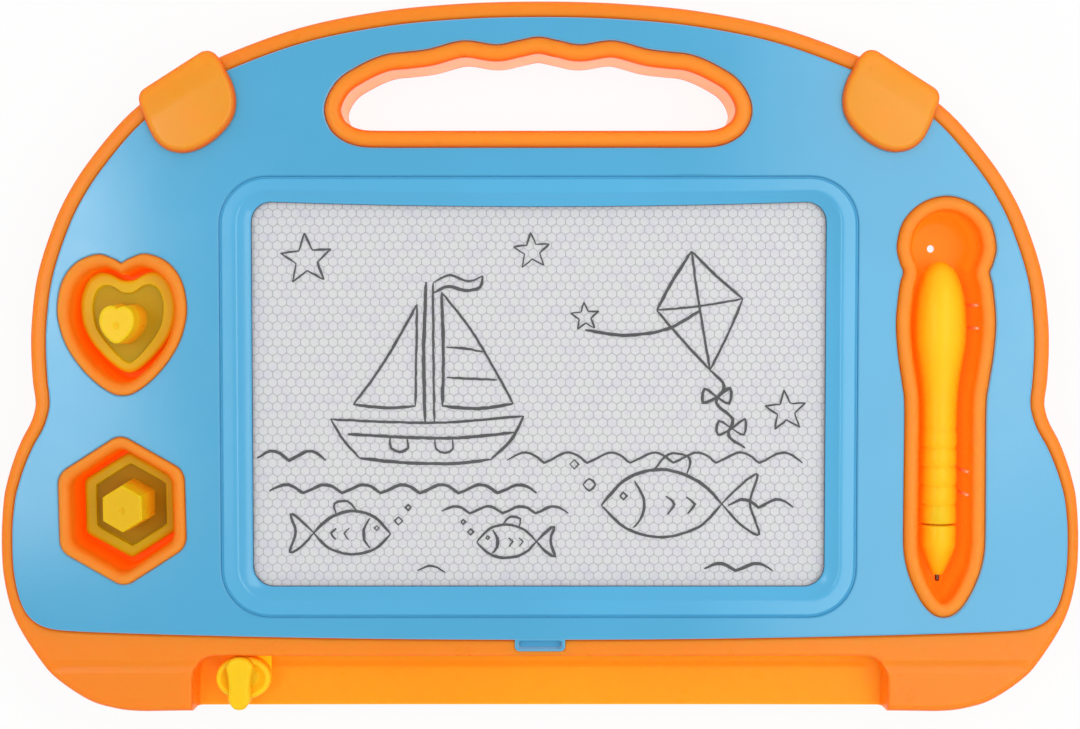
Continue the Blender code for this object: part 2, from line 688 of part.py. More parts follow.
def both_sides(shares):
    """Gives the two places of a screw, from its shares of the board's half sides."""
    x = shares[0] * HALF_WIDTH
    y = shares[1] * HALF_HEIGHT
    return [("left", -x, y), ("right", x, y)]


def body_screw_places():
    """Lists each screw that joins the shells: its name, its place and its length."""
    places = []
    for label, shares, length in (
        ("upper", UPPER_BOSS_SHARES, BODY_SCREW_LENGTH),
        ("waist", WAIST_BOSS_SHARES, BODY_SCREW_LENGTH),
        ("lower", LOWER_BOSS_SHARES, BODY_SCREW_LENGTH),
        ("bar", BAR_BOSS_SHARES, BAR_SCREW_LENGTH),
    ):
        places += [(f"{label}_{side}", x, y, length) for side, x, y in both_sides(shares)]
    return places


def clip_places():
    """Lists each corner clip: its side, its place and its turn."""
    return [
        ("left", -CLIP_CENTRE_X, CLIP_CENTRE_Y, CLIP_ANGLE),
        ("right", CLIP_CENTRE_X, CLIP_CENTRE_Y, -CLIP_ANGLE),
    ]


def clip_post_places():
    """Lists where each clip's hollow post goes down through the plate, inwards of the clip's middle."""
    inset = Vector((0, -CLIP_POST_INSET))
    places = []
    for side, x, y, turn in clip_places():
        across = math.cos(turn) * inset.x - math.sin(turn) * inset.y
        along = math.sin(turn) * inset.x + math.cos(turn) * inset.y
        places.append((side, x + across, y + along))
    return places


def insert_outlines():
    """Lists the outer outline of each piece that sits in the plate, in its place on the board."""
    bezel_edge = rounded_rectangle(BEZEL_HALF_WIDTH, BEZEL_HALF_HEIGHT, BEZEL_CORNER)
    return {
        "handle": placed(handle_outline(), 0, HANDLE_CENTRE_Y),
        "bezel": placed(bezel_edge, 0, SCREEN_CENTRE_Y),
        "tray": placed(tray_outline(), TRAY_CENTRE_X, TRAY_CENTRE_Y),
        "heart": placed(heart_pocket_outline(), HEART_POCKET_X, HEART_POCKET_Y),
        "hexagon": placed(hexagon_pocket_outline(), HEXAGON_POCKET_X, HEXAGON_POCKET_Y),
    }


def notch_cutter():
    """Makes the box that lifts the bottom edge between the two feet."""
    return block(
        "foot_notch_cutter",
        (-RECESS_HALF_WIDTH, RECESS_HALF_WIDTH),
        (-BOARD_HEIGHT, RECESS_BOTTOM),
        (-CUT_OVERRUN, INSERT_TOP + CUT_OVERRUN),
    )


def make_front_plate(finish):
    """Makes the blue plate, open where the other pieces sit, with the latch tab below its middle."""
    holes = [offset(outline, SEAT_GAP) for outline in insert_outlines().values()]
    post_hole = ellipse(CLIP_POST_RADIUS + SEAT_GAP, CLIP_POST_RADIUS + SEAT_GAP, ROUND_SIDES)
    holes += [placed(post_hole, x, y) for _, x, y in clip_post_places()]
    plate = sheet("front_plate", [plate_outline(), *holes], PLATE_BOTTOM, PLATE_TOP, finish)
    width = (-LATCH_TAB_HALF_WIDTH, LATCH_TAB_HALF_WIDTH)
    reach = (LATCH_TAB_END, PLATE_BOTTOM_EDGE + LEDGE_WIDTH)
    tab = block("latch_tab", width, reach, (PLATE_BOTTOM, PLATE_TOP))
    scoop = block(
        "latch_scoop",
        (width[0] + LATCH_SCOOP_MARGIN, width[1] - LATCH_SCOOP_MARGIN),
        (LATCH_TAB_END + LATCH_SCOOP_MARGIN / 2, PLATE_BOTTOM_EDGE),
        (PLATE_TOP - LATCH_SCOOP_DEPTH, PLATE_TOP + CUT_OVERRUN),
    )
    combine(plate, [tab], "UNION")
    combine(plate, [scoop], "DIFFERENCE")
    return plate


def main_body_rings():
    """Gives the section of the side wall, the rim and the ledge, as rings from the parting line and back."""
    outer = board_outline()
    seat = offset(plate_outline(), SEAT_GAP)
    ledge = offset(plate_outline(), -LEDGE_WIDTH)
    inner = offset(outer, -BODY_WALL)
    return [
        (outer, BODY_BOTTOM),
        (outer, RIM_TOP - RIM_ROUND),
        (offset(outer, -RIM_ROUND), RIM_TOP),
        (seat, RIM_TOP),
        (seat, LEDGE_TOP),
        (ledge, LEDGE_TOP),
        (ledge, LEDGE_BOTTOM),
        (inner, LEDGE_BOTTOM),
        (inner, BODY_BOTTOM),
    ]


def recess_block():
    """Makes the solid block that the slider's recess is cut from."""
    side = RECESS_HALF_WIDTH + RECESS_WALL
    return block(
        "recess_block",
        (-side, side),
        (RECESS_BOTTOM - RECESS_WALL / 2, RECESS_TOP + RECESS_WALL),
        (BODY_BOTTOM, LEDGE_TOP),
    )


def recess_cutters():
    """Makes the track that the knob runs in and the slot that its arm runs through."""
    half_height = (RECESS_TOP + BOARD_HEIGHT) / 2
    outline = rounded_rectangle(RECESS_HALF_WIDTH, half_height, RECESS_CORNER)
    track = sheet(
        "recess_track",
        [placed(outline, 0, RECESS_TOP - half_height)],
        RECESS_FACE,
        INSERT_TOP + CUT_OVERRUN,
        collection=CUTTERS,
    )
    slot_side = RECESS_HALF_WIDTH - RECESS_ARM_CLEARANCE
    slot = block(
        "recess_slot",
        (-slot_side, slot_side),
        (RECESS_TOP - RECESS_CORNER, RECESS_TOP + RECESS_WALL + CUT_OVERRUN),
        (RECESS_FACE, RAIL_BOTTOM),
    )
    return [track, slot]


def make_main_body(finish):
    """Makes the orange front shell: side wall, rim, bottom bar with the slider's recess, and screw bosses."""
    body = loft("main_body", main_body_rings(), finish, looped=True)
    bosses = []
    bores = []
    boss_top = (LEDGE_TOP + LEDGE_BOTTOM) / 2
    for label, x, y, length in body_screw_places():
        top = SCREW_SEAT + length + SEAT_GAP
        if not label.startswith("bar"):
            bosses.append(rod(f"body_boss_{label}", x, y, BODY_BOSS_RADIUS, BODY_BOTTOM, boss_top))
        bores.append(rod(f"body_bore_{label}", x, y, HOLE_RADIUS, COVER_FLOOR, top, sides=BORE_SIDES))
    clearances = []
    low = LEDGE_BOTTOM - SEAT_GAP
    high = LEDGE_TOP + SEAT_GAP
    for label in ("tray", "heart", "hexagon"):
        room = offset(insert_outlines()[label], FLANGE_WIDTH + SEAT_GAP)
        clearances.append(sheet(f"{label}_room", [room], low, high, collection=CUTTERS))
    width = LATCH_TAB_HALF_WIDTH + SEAT_GAP
    tab_seat = block(
        "latch_tab_seat",
        (-width, width),
        (LATCH_TAB_END - SEAT_GAP, PLATE_BOTTOM_EDGE + LEDGE_WIDTH),
        (LEDGE_TOP, PLATE_TOP + CUT_OVERRUN),
    )
    combine(body, [recess_block(), *bosses], "UNION")
    combine(body, [*recess_cutters(), notch_cutter(), tab_seat, *clearances, *bores], "DIFFERENCE")
    return body


def make_back_cover(finish):
    """Makes the orange back shell: a shallow tray with screw bosses, guide ribs and pocket pillars."""
    outer = board_outline()
    inner = offset(outer, -COVER_WALL)
    cover = loft(
        "back_cover",
        [
            (offset(outer, -COVER_EDGE_ROUND), 0),
            (offset(outer, -COVER_EDGE_ROUND / 4), COVER_EDGE_ROUND / 3),
            (outer, COVER_EDGE_ROUND),
            (outer, COVER_HEIGHT),
            (inner, COVER_HEIGHT),
            (inner, COVER_FLOOR),
        ],
        finish,
    )
    places = [(label, x, y) for label, x, y, _ in body_screw_places()]
    places += [(f"clip_{side}", x, y) for side, x, y in clip_post_places()]
    root = COVER_FLOOR / 2
    raised = []
    for label, x, y in places:
        raised.append(rod(f"cover_boss_{label}", x, y, COVER_BOSS_RADIUS, root, COVER_HEIGHT))
    for label, y in (
        ("upper", SCREEN_CENTRE_Y + ERASER_HALF_LENGTH - ARM_WIDTH / 2),
        ("lower", SCREEN_CENTRE_Y - RAIL_OUTER_Y),
    ):
        raised.append(
            block(
                f"guide_rib_{label}",
                (-GUIDE_RIB_HALF_LENGTH, GUIDE_RIB_HALF_LENGTH),
                (y - GUIDE_RIB_WIDTH / 2, y + GUIDE_RIB_WIDTH / 2),
                (root, RECESS_FACE),
            )
        )
    for label, x, y, under in (
        ("heart", HEART_POCKET_X, HEART_POCKET_Y, POCKET_FLOOR_BOTTOM),
        ("hexagon", HEXAGON_POCKET_X, HEXAGON_POCKET_Y, POCKET_FLOOR_BOTTOM),
        ("tray_upper", TRAY_CENTRE_X, TRAY_CENTRE_Y + TRAY_HALF_LENGTH / 2, TRAY_FLOOR_BOTTOM),
        ("tray_lower", TRAY_CENTRE_X, TRAY_CENTRE_Y - TRAY_HALF_LENGTH / 2, TRAY_FLOOR_BOTTOM),
    ):
        raised.append(rod(f"{label}_pillar", x, y, SUPPORT_PILLAR_RADIUS, root, under - SEAT_GAP))
    handle_hole = sheet(
        "cover_handle_hole",
        [placed(offset(handle_outline(), -HANDLE_RING_WIDTH), 0, HANDLE_CENTRE_Y)],
        -CUT_OVERRUN,
        COVER_HEIGHT + CUT_OVERRUN,
        collection=CUTTERS,
    )
    cuts = [handle_hole, notch_cutter()]
    head_roof = SCREW_SEAT + SEAT_GAP
    hole_top = COVER_HEIGHT + CUT_OVERRUN
    for label, x, y in places:
        cuts.append(rod(f"cover_counterbore_{label}", x, y, COUNTERBORE_RADIUS, -CUT_OVERRUN, head_roof))
        cuts.append(rod(f"cover_hole_{label}", x, y, HOLE_RADIUS, 0, hole_top, sides=BORE_SIDES))
    combine(cover, raised, "UNION")
    combine(cover, cuts, "DIFFERENCE")
    return cover


def make_handle_grip(finish):
    """Makes the orange ring and sleeve that line the carrying hole, with finger waves along the top."""
    outer = handle_outline()
    hole = offset(outer, -HANDLE_RING_WIDTH)
    sleeve = offset(hole, HANDLE_SLEEVE_WALL)
    ring = loft(
        "handle_grip",
        [
            (hole, COVER_FLOOR + SEAT_GAP),
            (hole, INSERT_TOP - HANDLE_RING_ROUND),
            (offset(hole, HANDLE_RING_ROUND), INSERT_TOP),
            (offset(outer, -HANDLE_RING_ROUND), INSERT_TOP),
            (outer, INSERT_TOP - HANDLE_RING_ROUND),
            (outer, FLANGE_TOP),
            (offset(outer, FLANGE_WIDTH), FLANGE_TOP),
            (offset(outer, FLANGE_WIDTH), FLANGE_BOTTOM),
            (sleeve, FLANGE_BOTTOM),
            (sleeve, COVER_FLOOR + SEAT_GAP),
        ],
        finish,
        looped=True,
    )
    ring.location = (0, HANDLE_CENTRE_Y, 0)
    return ring


def cup_rings(outer, shrink, rim_width, rim_round, draft, floor_top):
    """Gives the section of a pocket that hangs in the plate: floor, wall, flange, rim and inner wall."""
    cavity = shrink(outer, rim_width)
    floor = shrink(outer, rim_width + draft)
    shell = shrink(outer, rim_width - CUP_WALL)
    return [
        (shrink(outer, rim_width + draft - CUP_WALL), floor_top - CUP_WALL),
        (shell, FLANGE_BOTTOM),
        (shrink(outer, -FLANGE_WIDTH), FLANGE_BOTTOM),
        (shrink(outer, -FLANGE_WIDTH), FLANGE_TOP),
        (outer, FLANGE_TOP),
        (outer, INSERT_TOP - rim_round),
        (shrink(outer, rim_round), INSERT_TOP),
        (shrink(outer, rim_width - rim_round), INSERT_TOP),
        (cavity, INSERT_TOP - rim_round),
        (floor, floor_top),
    ]


def inwards(points, distance):
    """Moves a mirrored outline inwards along its normals, with its lower tip drawn to a point if too narrow."""
    moved = offset(points, -distance)
    tip = len(moved) // 2
    last = tip
    for i in range(tip // 2, tip):
        crossed = moved[i + 1].x <= 0 and i + 1 < tip
        if crossed or moved[i + 1].y >= moved[i].y:
            last = i
            break
    start = moved[last]
    for i in range(last + 1, tip + 1):
        share = (i - last) / (tip - last)
        x = start.x * (1 - share)
        y = start.y - start.x * share
        moved[i] = Vector((x, y))
        moved[len(moved) - i] = Vector((-x, y))
    return moved


def pen_clip_places():
    """Lists the heights along the tray of the two pairs of small pen clips."""
    half = PEN_CLIP_SPACING / 2
    places = []
    for label, share in (("upper", PEN_CLIP_UPPER_SHARE), ("lower", PEN_CLIP_LOWER_SHARE)):
        middle = share * TRAY_HALF_LENGTH
        places.append((f"{label}_first", middle - half))
        places.append((f"{label}_second", middle + half))
    return places


def tray_wall_at(y):
    """Gives how far the cavity's side wall is from the tray's middle line, at a height along it."""
    wall = offset(tray_outline(), -TRAY_RIM_WIDTH)
    right = [p for p in wall if p.x > 0]
    return min(right, key=lambda p: abs(p.y - y)).x


def make_pen_tray(finish):
    """Makes the orange tray of the pen, with its tether hole and four small clips on its right-hand wall."""
    rings = cup_rings(tray_outline(), inwards, TRAY_RIM_WIDTH, TRAY_RIM_ROUND, TRAY_DRAFT, TRAY_FLOOR_TOP)
    tray = loft("pen_tray", rings, finish)
    clips = []
    for label, y in pen_clip_places():
        wall = tray_wall_at(y)
        clips.append(
            block(
                f"pen_clip_{label}",
                (wall - PEN_CLIP_LENGTH, wall + CUP_WALL / 2),
                (y - PEN_CLIP_THICKNESS / 2, y + PEN_CLIP_THICKNESS / 2),
                (TRAY_FLOOR_BOTTOM + CUP_WALL / 2, PEN_CLIP_TOP),
            )
        )
    bulb_y = TRAY_HALF_LENGTH - TRAY_HALF_WIDTH
    hole = rod("tether_hole", TETHER_HOLE_X, bulb_y, TETHER_HOLE_RADIUS, 0, PEN_AXIS_Z)
    combine(tray, clips, "UNION")
    combine(tray, [hole], "DIFFERENCE")
    for piece in (tray, hole, *clips):
        piece.location = (TRAY_CENTRE_X, TRAY_CENTRE_Y, 0)
    return tray


def make_pocket(name, outline, x, y, finish):
    """Makes one orange stamp pocket."""
    rings = cup_rings(outline, inset_fit, POCKET_RIM_WIDTH, POCKET_RIM_ROUND, POCKET_DRAFT, POCKET_FLOOR_TOP)
    pocket = loft(name, rings, finish)
    pocket.location = (x, y, 0)
    return pocket


def make_bezel(finish):
    """Makes the blue screen surround: a rolled ring that slopes down to the window, over the panel's seat."""
    window = rounded_rectangle(WINDOW_HALF_WIDTH, WINDOW_HALF_HEIGHT, WINDOW_CORNER)
    edge = rounded_rectangle(BEZEL_HALF_WIDTH, BEZEL_HALF_HEIGHT, BEZEL_CORNER)
    seat = rounded_rectangle(PANEL_HALF_WIDTH + SEAT_GAP, PANEL_HALF_HEIGHT + SEAT_GAP, PANEL_CORNER)
    roll_corner = BEZEL_CORNER - BEZEL_ROLL
    roll = rounded_rectangle(BEZEL_HALF_WIDTH - BEZEL_ROLL, BEZEL_HALF_HEIGHT - BEZEL_ROLL, roll_corner)
    flange = rounded_rectangle(
        BEZEL_HALF_WIDTH + BEZEL_FLANGE, BEZEL_HALF_HEIGHT + BEZEL_FLANGE, BEZEL_CORNER + BEZEL_FLANGE
    )
    bezel = loft(
        "screen_bezel",
        [
            (window, PLATE_BOTTOM),
            (window, PLATE_BOTTOM + BEZEL_LIP),
            (roll, INSERT_TOP),
            (offset(edge, -BEZEL_ROLL / 3), INSERT_TOP - INSERT_RISE / 3),
            (edge, PLATE_TOP),
            (edge, FLANGE_TOP),
            (flange, FLANGE_TOP),
            (flange, FLANGE_BOTTOM),
            (seat, FLANGE_BOTTOM),
            (seat, PLATE_BOTTOM),
        ],
        finish,
        looped=True,
    )
    bezel.location = (0, SCREEN_CENTRE_Y, 0)
    bores = []
    radius = SMALL_SCREW_RADIUS + SEAT_GAP
    low = HONEYCOMB_BOTTOM
    for label, x, y in rail_screw_places():
        bores.append(rod(f"bezel_bore_{label}", x, y, radius, low, PLATE_BOTTOM, sides=BORE_SIDES))
    combine(bezel, bores, "DIFFERENCE")
    return bezel


def make_panel_sheet(name, low, high, finish):
    """Makes one flat sheet of the screen panel."""
    outline = rounded_rectangle(PANEL_HALF_WIDTH, PANEL_HALF_HEIGHT, PANEL_CORNER)
    made = sheet(name, [outline], low, high, finish)
    made.location = (0, SCREEN_CENTRE_Y, 0)
    return made


def rail_screw_places():
    """Lists the four screws that hold the two rails up against the screen surround."""
    places = []
    for row, side_y in (("top", 1), ("bottom", -1)):
        for column, side_x in (("left", -1), ("right", 1)):
            places.append((f"{row}_{column}", RAIL_SCREW_X * side_x, SCREEN_CENTRE_Y + RAIL_SCREW_Y * side_y))
    return places


def make_rail(name, side_y, finish):
    """Makes one rail that clamps a long edge of the screen panel and guides the eraser's end."""
    half = PANEL_HALF_WIDTH + RAIL_EXTRA_LENGTH
    section = (
        Vector((RAIL_INNER_Y, RAIL_BOTTOM)),
        Vector((RAIL_OUTER_Y, RAIL_BOTTOM)),
        Vector((RAIL_OUTER_Y, RAIL_TOP)),
        Vector((RAIL_BASE_Y, RAIL_TOP)),
        Vector((RAIL_BASE_Y, RAIL_LIP_TOP)),
        Vector((RAIL_INNER_Y, RAIL_LIP_TOP)),
    )
    rail = sheet(name, [[Vector((p.x * side_y, p.y)) for p in section]], -half, half, finish)
    rail.rotation_euler = (math.pi / 2, 0, math.pi / 2)
    rail.location = (0, SCREEN_CENTRE_Y, 0)
    cuts = []
    head_room = SMALL_HEAD_RADIUS + SEAT_GAP
    head_low = RAIL_BOTTOM - SEAT_GAP
    head_top = RAIL_BOTTOM + SMALL_HEAD_HEIGHT + 2 * SEAT_GAP
    radius = SMALL_SCREW_RADIUS + SEAT_GAP
    for label, x, y in rail_screw_places():
        if name.endswith(label.split("_")[0]):
            cuts.append(rod(f"rail_counterbore_{label}", x, y, head_room, head_low, head_top))
            cuts.append(rod(f"rail_hole_{label}", x, y, radius, RAIL_BOTTOM, PLATE_BOTTOM, sides=BORE_SIDES))
    combine(rail, cuts, "DIFFERENCE")
    return rail


def make_screw(name, x, y, head_low, head_radius, head_height, shank_radius, length, finish):
    """Makes one round-head screw that points up, with its head's lowest face at a height."""
    seat = head_low + head_height
    screw = turned(
        name,
        [
            (0, seat + length),
            (shank_radius * SCREW_POINT_SHARE, seat + length),
            (shank_radius, seat + length - shank_radius),
            (shank_radius, seat),
            (head_radius, seat),
            (head_radius, head_low + head_height / 3),
            (head_radius * SCREW_CROWN_SHARE, head_low),
            (0, head_low),
        ],
        finish,
        sides=SCREW_SIDES,
    )
    screw.location = (x, y, 0)
    return screw


def make_cover_screws(finish):
    """Makes the eight screws that join the shells and the two longer ones under the corner clips."""
    made = [(f"cover_screw_{label}", x, y, length) for label, x, y, length in body_screw_places()]
    made += [(f"clip_screw_{side}", x, y, CLIP_SCREW_LENGTH) for side, x, y in clip_post_places()]
    sizes = (SCREW_SINK, SCREW_HEAD_RADIUS, SCREW_HEAD_HEIGHT, SCREW_RADIUS)
    for name, x, y, length in made:
        make_screw(name, x, y, *sizes, length, finish)


def make_rail_screws(finish):
    """Makes the four small screws of the rails."""
    low = RAIL_BOTTOM + SEAT_GAP
    length = FLANGE_TOP - low - SMALL_HEAD_HEIGHT - SEAT_GAP
    sizes = (low, SMALL_HEAD_RADIUS, SMALL_HEAD_HEIGHT, SMALL_SCREW_RADIUS, length)
    for label, x, y in rail_screw_places():
        make_screw(f"rail_screw_{label}", x, y, *sizes, finish)


def eraser_carriage():
    """Makes the empty on the slider's axis that the eraser's pieces are parented to."""
    carriage = bpy.data.objects.new("eraser_carriage", None)
    BOARD.objects.link(carriage)
    carriage.location = (KNOB_REST_X, KNOB_CENTRE_Y, ARM_BOTTOM)
    return carriage


def on_carriage(piece, carriage):
    """Parents a piece made in board coordinates about the carriage's line to the carriage."""
    piece.parent = carriage
    piece.location = (0, -KNOB_CENTRE_Y, -ARM_BOTTOM)
    return piece


def make_eraser_bar(finish, carriage):
    """Makes the bar behind the screen, with a channel for its magnet and an arm out to the knob."""
    low_end = SCREEN_CENTRE_Y - ERASER_HALF_LENGTH
    high_end = SCREEN_CENTRE_Y + ERASER_HALF_LENGTH
    half = ERASER_WIDTH / 2
    bar = block("eraser_bar", (-half, half), (low_end, high_end), (ARM_BOTTOM, ERASER_TOP), finish, BOARD)
    half_arm = ARM_WIDTH / 2
    arm_end = RECESS_BOTTOM + ARM_END_MARGIN
    arm = block("eraser_arm", (-half_arm, half_arm), (arm_end, low_end + ARM_WIDTH), (ARM_BOTTOM, ARM_TOP))
    pad_start = RECESS_TOP - ARM_END_MARGIN
    half_pad = ARM_PAD_WIDTH / 2
    pad = block("eraser_pad", (-half_pad, half_pad), (arm_end, pad_start), (ARM_BOTTOM, ARM_PAD_TOP))
    half_channel = ERASER_CHANNEL_WIDTH / 2
    channel = block(
        "eraser_channel",
        (-half_channel, half_channel),
        (low_end + ERASER_CHANNEL_END, high_end - ERASER_CHANNEL_END),
        (ARM_BOTTOM + ERASER_FLOOR, ERASER_TOP + CUT_OVERRUN),
    )
    head_roof = ARM_BOTTOM + SMALL_HEAD_HEIGHT + 2 * SEAT_GAP
    sink = rod("arm_counterbore", 0, KNOB_CENTRE_Y, KNOB_SCREW_HEAD_RADIUS + SEAT_GAP, RECESS_FACE, head_roof)
    hole = rod("arm_hole", 0, KNOB_CENTRE_Y, KNOB_SCREW_RADIUS + SEAT_GAP, ARM_BOTTOM, ARM_PAD_TOP + SEAT_GAP)
    combine(bar, [arm, pad], "UNION")
    combine(bar, [channel, sink, hole], "DIFFERENCE")
    for piece in (bar, arm, pad, channel, sink, hole):
        on_carriage(piece, carriage)
    return bar


def make_magnet_strip(finish, carriage):
    """Makes the magnet strip that lies in the eraser bar's channel."""
    reach = ERASER_HALF_LENGTH - ERASER_CHANNEL_END - SEAT_GAP
    strip = block(
        "eraser_magnet_strip",
        (-STRIP_WIDTH / 2, STRIP_WIDTH / 2),
        (SCREEN_CENTRE_Y - reach, SCREEN_CENTRE_Y + reach),
        (ARM_BOTTOM + ERASER_FLOOR + SEAT_GAP, ERASER_TOP),
        finish,
        BOARD,
    )
    return on_carriage(strip, carriage)


def make_slider_knob(finish, carriage):
    """Makes the yellow knob: a dished oval with an upright thumb rib, and a bore for its screw."""
    disc_top = KNOB_BOTTOM + KNOB_DISC_THICKNESS
    oval = ellipse(KNOB_HALF_WIDTH, KNOB_HALF_HEIGHT)
    knob = loft(
        "slider_knob",
        [
            (oval, KNOB_BOTTOM),
            (oval, disc_top - KNOB_DISC_EDGE),
            (inset_fit(oval, KNOB_DISC_EDGE), disc_top),
            (inset_fit(oval, KNOB_DISC_EDGE + KNOB_DISH_WIDTH), disc_top - KNOB_DISH_DEPTH),
        ],
        finish,
    )
    rib_half_height = KNOB_HALF_HEIGHT + KNOB_RIB_REACH / 2
    rib_outline = mirrored_outline(RIB_SHARES, KNOB_RIB_HALF_WIDTH, rib_half_height)
    rib_outline = placed(rib_outline, 0, -KNOB_RIB_REACH / 2)
    rib = loft(
        "knob_rib",
        [
            (rib_outline, KNOB_BOTTOM),
            (rib_outline, KNOB_TOP - KNOB_RIB_ROUND),
            (offset(rib_outline, -KNOB_RIB_ROUND), KNOB_TOP),
        ],
        collection=CUTTERS,
    )
    bore_top = ARM_BOTTOM + SEAT_GAP + SMALL_HEAD_HEIGHT + KNOB_SCREW_LENGTH + SEAT_GAP
    bore = rod("knob_bore", 0, 0, KNOB_SCREW_RADIUS + SEAT_GAP, ARM_BOTTOM, bore_top)
    combine(knob, [rib], "UNION")
    combine(knob, [bore], "DIFFERENCE")
    for piece in (knob, rib, bore):
        piece.parent = carriage
        piece.location = (0, 0, -ARM_BOTTOM)
    return knob


def make_knob_screw(finish, carriage):
    """Makes the screw that holds the knob down on the eraser's arm."""
    screw = make_screw(
        "slider_knob_screw",
        0,
        0,
        ARM_BOTTOM + SEAT_GAP,
        KNOB_SCREW_HEAD_RADIUS,
        SMALL_HEAD_HEIGHT,
        KNOB_SCREW_RADIUS,
        KNOB_SCREW_LENGTH,
        finish,
    )
    screw.parent = carriage
    screw.location = (0, 0, -ARM_BOTTOM)
    return screw


def pen_profile():
    """Gives the barrel's radius along its length from its top, with the grip's grooves."""
    barrel = PEN_LENGTH - PEN_TIP_LENGTH
    profile = [(radius * PEN_RADIUS, -along * barrel) for along, radius in PEN_BODY_SHARES]
    grip_start = PEN_GRIP_START_SHARE * barrel
    pitch = (barrel - grip_start) / GRIP_GROOVES
    swells = (
        (GRIP_GROOVE_SHARE, -PEN_GRIP_GROOVE),
        (GRIP_SWELL_START_SHARE, PEN_GRIP_SWELL),
        (GRIP_SWELL_END_SHARE, PEN_GRIP_SWELL),
    )
    for groove in range(GRIP_GROOVES):
        low = grip_start + groove * pitch
        for share, swell in swells:
            profile.append((PEN_GRIP_RADIUS + swell, -(low + share * pitch)))
    profile.append((PEN_GRIP_RADIUS, -barrel))
    return profile, barrel


def make_pen(yellow, point_metal):
    """Makes the pen lying in its tray: barrel, pointed tip and the small magnet at its point."""
    holder = bpy.data.objects.new("pen_axis", None)
    BOARD.objects.link(holder)
    holder.location = (TRAY_CENTRE_X, PEN_TOP_Y, PEN_AXIS_Z)
    holder.rotation_euler = (-math.pi / 2, 0, 0)
    profile, barrel_length = pen_profile()
    socket_radius = PEN_SPIGOT_RADIUS + SEAT_GAP
    socket_end = -(barrel_length - PEN_SPIGOT_LENGTH - SEAT_GAP)
    barrel = turned(
        "pen_barrel",
        [*profile, (socket_radius, -barrel_length), (socket_radius, socket_end), (0, socket_end)],
        yellow,
        sides=PEN_SIDES,
    )
    tip_top = -(barrel_length + SEAT_GAP)
    tip_end = -PEN_LENGTH
    shoulder = tip_top - PEN_TIP_LENGTH * PEN_TIP_STRAIGHT_SHARE
    nib_seat_radius = NIB_RADIUS + SEAT_GAP
    nib_seat = tip_end + NIB_DEPTH
    tip = turned(
        "pen_tip",
        [
            (0, -(barrel_length - PEN_SPIGOT_LENGTH)),
            (PEN_SPIGOT_RADIUS, -(barrel_length - PEN_SPIGOT_LENGTH)),
            (PEN_SPIGOT_RADIUS, tip_top),
            (PEN_GRIP_RADIUS, tip_top),
            (PEN_GRIP_RADIUS, shoulder),
            ((PEN_GRIP_RADIUS + PEN_TIP_END_RADIUS) * PEN_TIP_SWELL_SHARE, (shoulder + tip_end) / 2),
            (PEN_TIP_END_RADIUS, tip_end),
            (nib_seat_radius, tip_end),
            (nib_seat_radius, nib_seat),
            (0, nib_seat),
        ],
        yellow,
        sides=PEN_SIDES,
    )
    nib = turned(
        "pen_nib",
        [
            (0, nib_seat - SEAT_GAP),
            (NIB_RADIUS, nib_seat - SEAT_GAP),
            (NIB_RADIUS, tip_end - NIB_REACH * NIB_SHOULDER_SHARE),
            (NIB_RADIUS * NIB_SHOULDER_SHARE, tip_end - NIB_REACH * NIB_CROWN_SHARE),
            (0, tip_end - NIB_REACH),
        ],
        point_metal,
    )
    for piece in (barrel, tip, nib):
        piece.parent = holder


def make_stamp(shape, outline, knob_outline, x, y, yellow, dark):
    """Makes one stamp in its pocket: a dished foot, a tall knob and the magnet sheet under it."""
    holder = bpy.data.objects.new(f"{shape}_stamp_axis", None)
    BOARD.objects.link(holder)
    holder.location = (x, y, STAMP_BOTTOM)
    foot = inset_fit(outline, POCKET_RIM_WIDTH + POCKET_DRAFT + STAMP_SIDE_GAP)
    under = inset_fit(foot, STAMP_MAGNET_MARGIN)
    dish = inset_fit(foot, STAMP_RIM_WIDTH)
    lift = -STAMP_BOTTOM
    stamp = loft(
        f"{shape}_stamp",
        [
            (under, STAMP_POCKET_ROOF + lift),
            (under, STAMP_BOTTOM + lift),
            (foot, STAMP_BOTTOM + lift),
            (foot, STAMP_TOP - STAMP_EDGE_ROUND + lift),
            (inset_fit(foot, STAMP_EDGE_ROUND), STAMP_TOP + lift),
            (inset_fit(dish, -STAMP_EDGE_ROUND), STAMP_TOP + lift),
            (dish, STAMP_DISH + lift),
        ],
        yellow,
    )
    knob = loft(
        f"{shape}_knob",
        [
            (inset_fit(knob_outline, -STAMP_KNOB_TAPER), STAMP_DISH - STAMP_DISH_DEPTH / 2 + lift),
            (knob_outline, STAMP_KNOB_TOP - STAMP_KNOB_EDGE + lift),
            (inset_fit(knob_outline, STAMP_KNOB_EDGE), STAMP_KNOB_TOP + lift),
        ],
        collection=CUTTERS,
    )
    dimple = rod(
        f"{shape}_dimple", 0, 0, STAMP_KNOB_DIMPLE, STAMP_KNOB_TOP - STAMP_DIMPLE_DEPTH + lift, STAMP_KNOB_TOP
    )
    combine(stamp, [knob], "UNION")
    combine(stamp, [dimple], "DIFFERENCE")
    magnet = sheet(
        f"{shape}_stamp_magnet", [inset_fit(under, SEAT_GAP)], 0, STAMP_MAGNET_THICKNESS, dark
    )
    for piece in (stamp, knob, dimple, magnet):
        piece.parent = holder


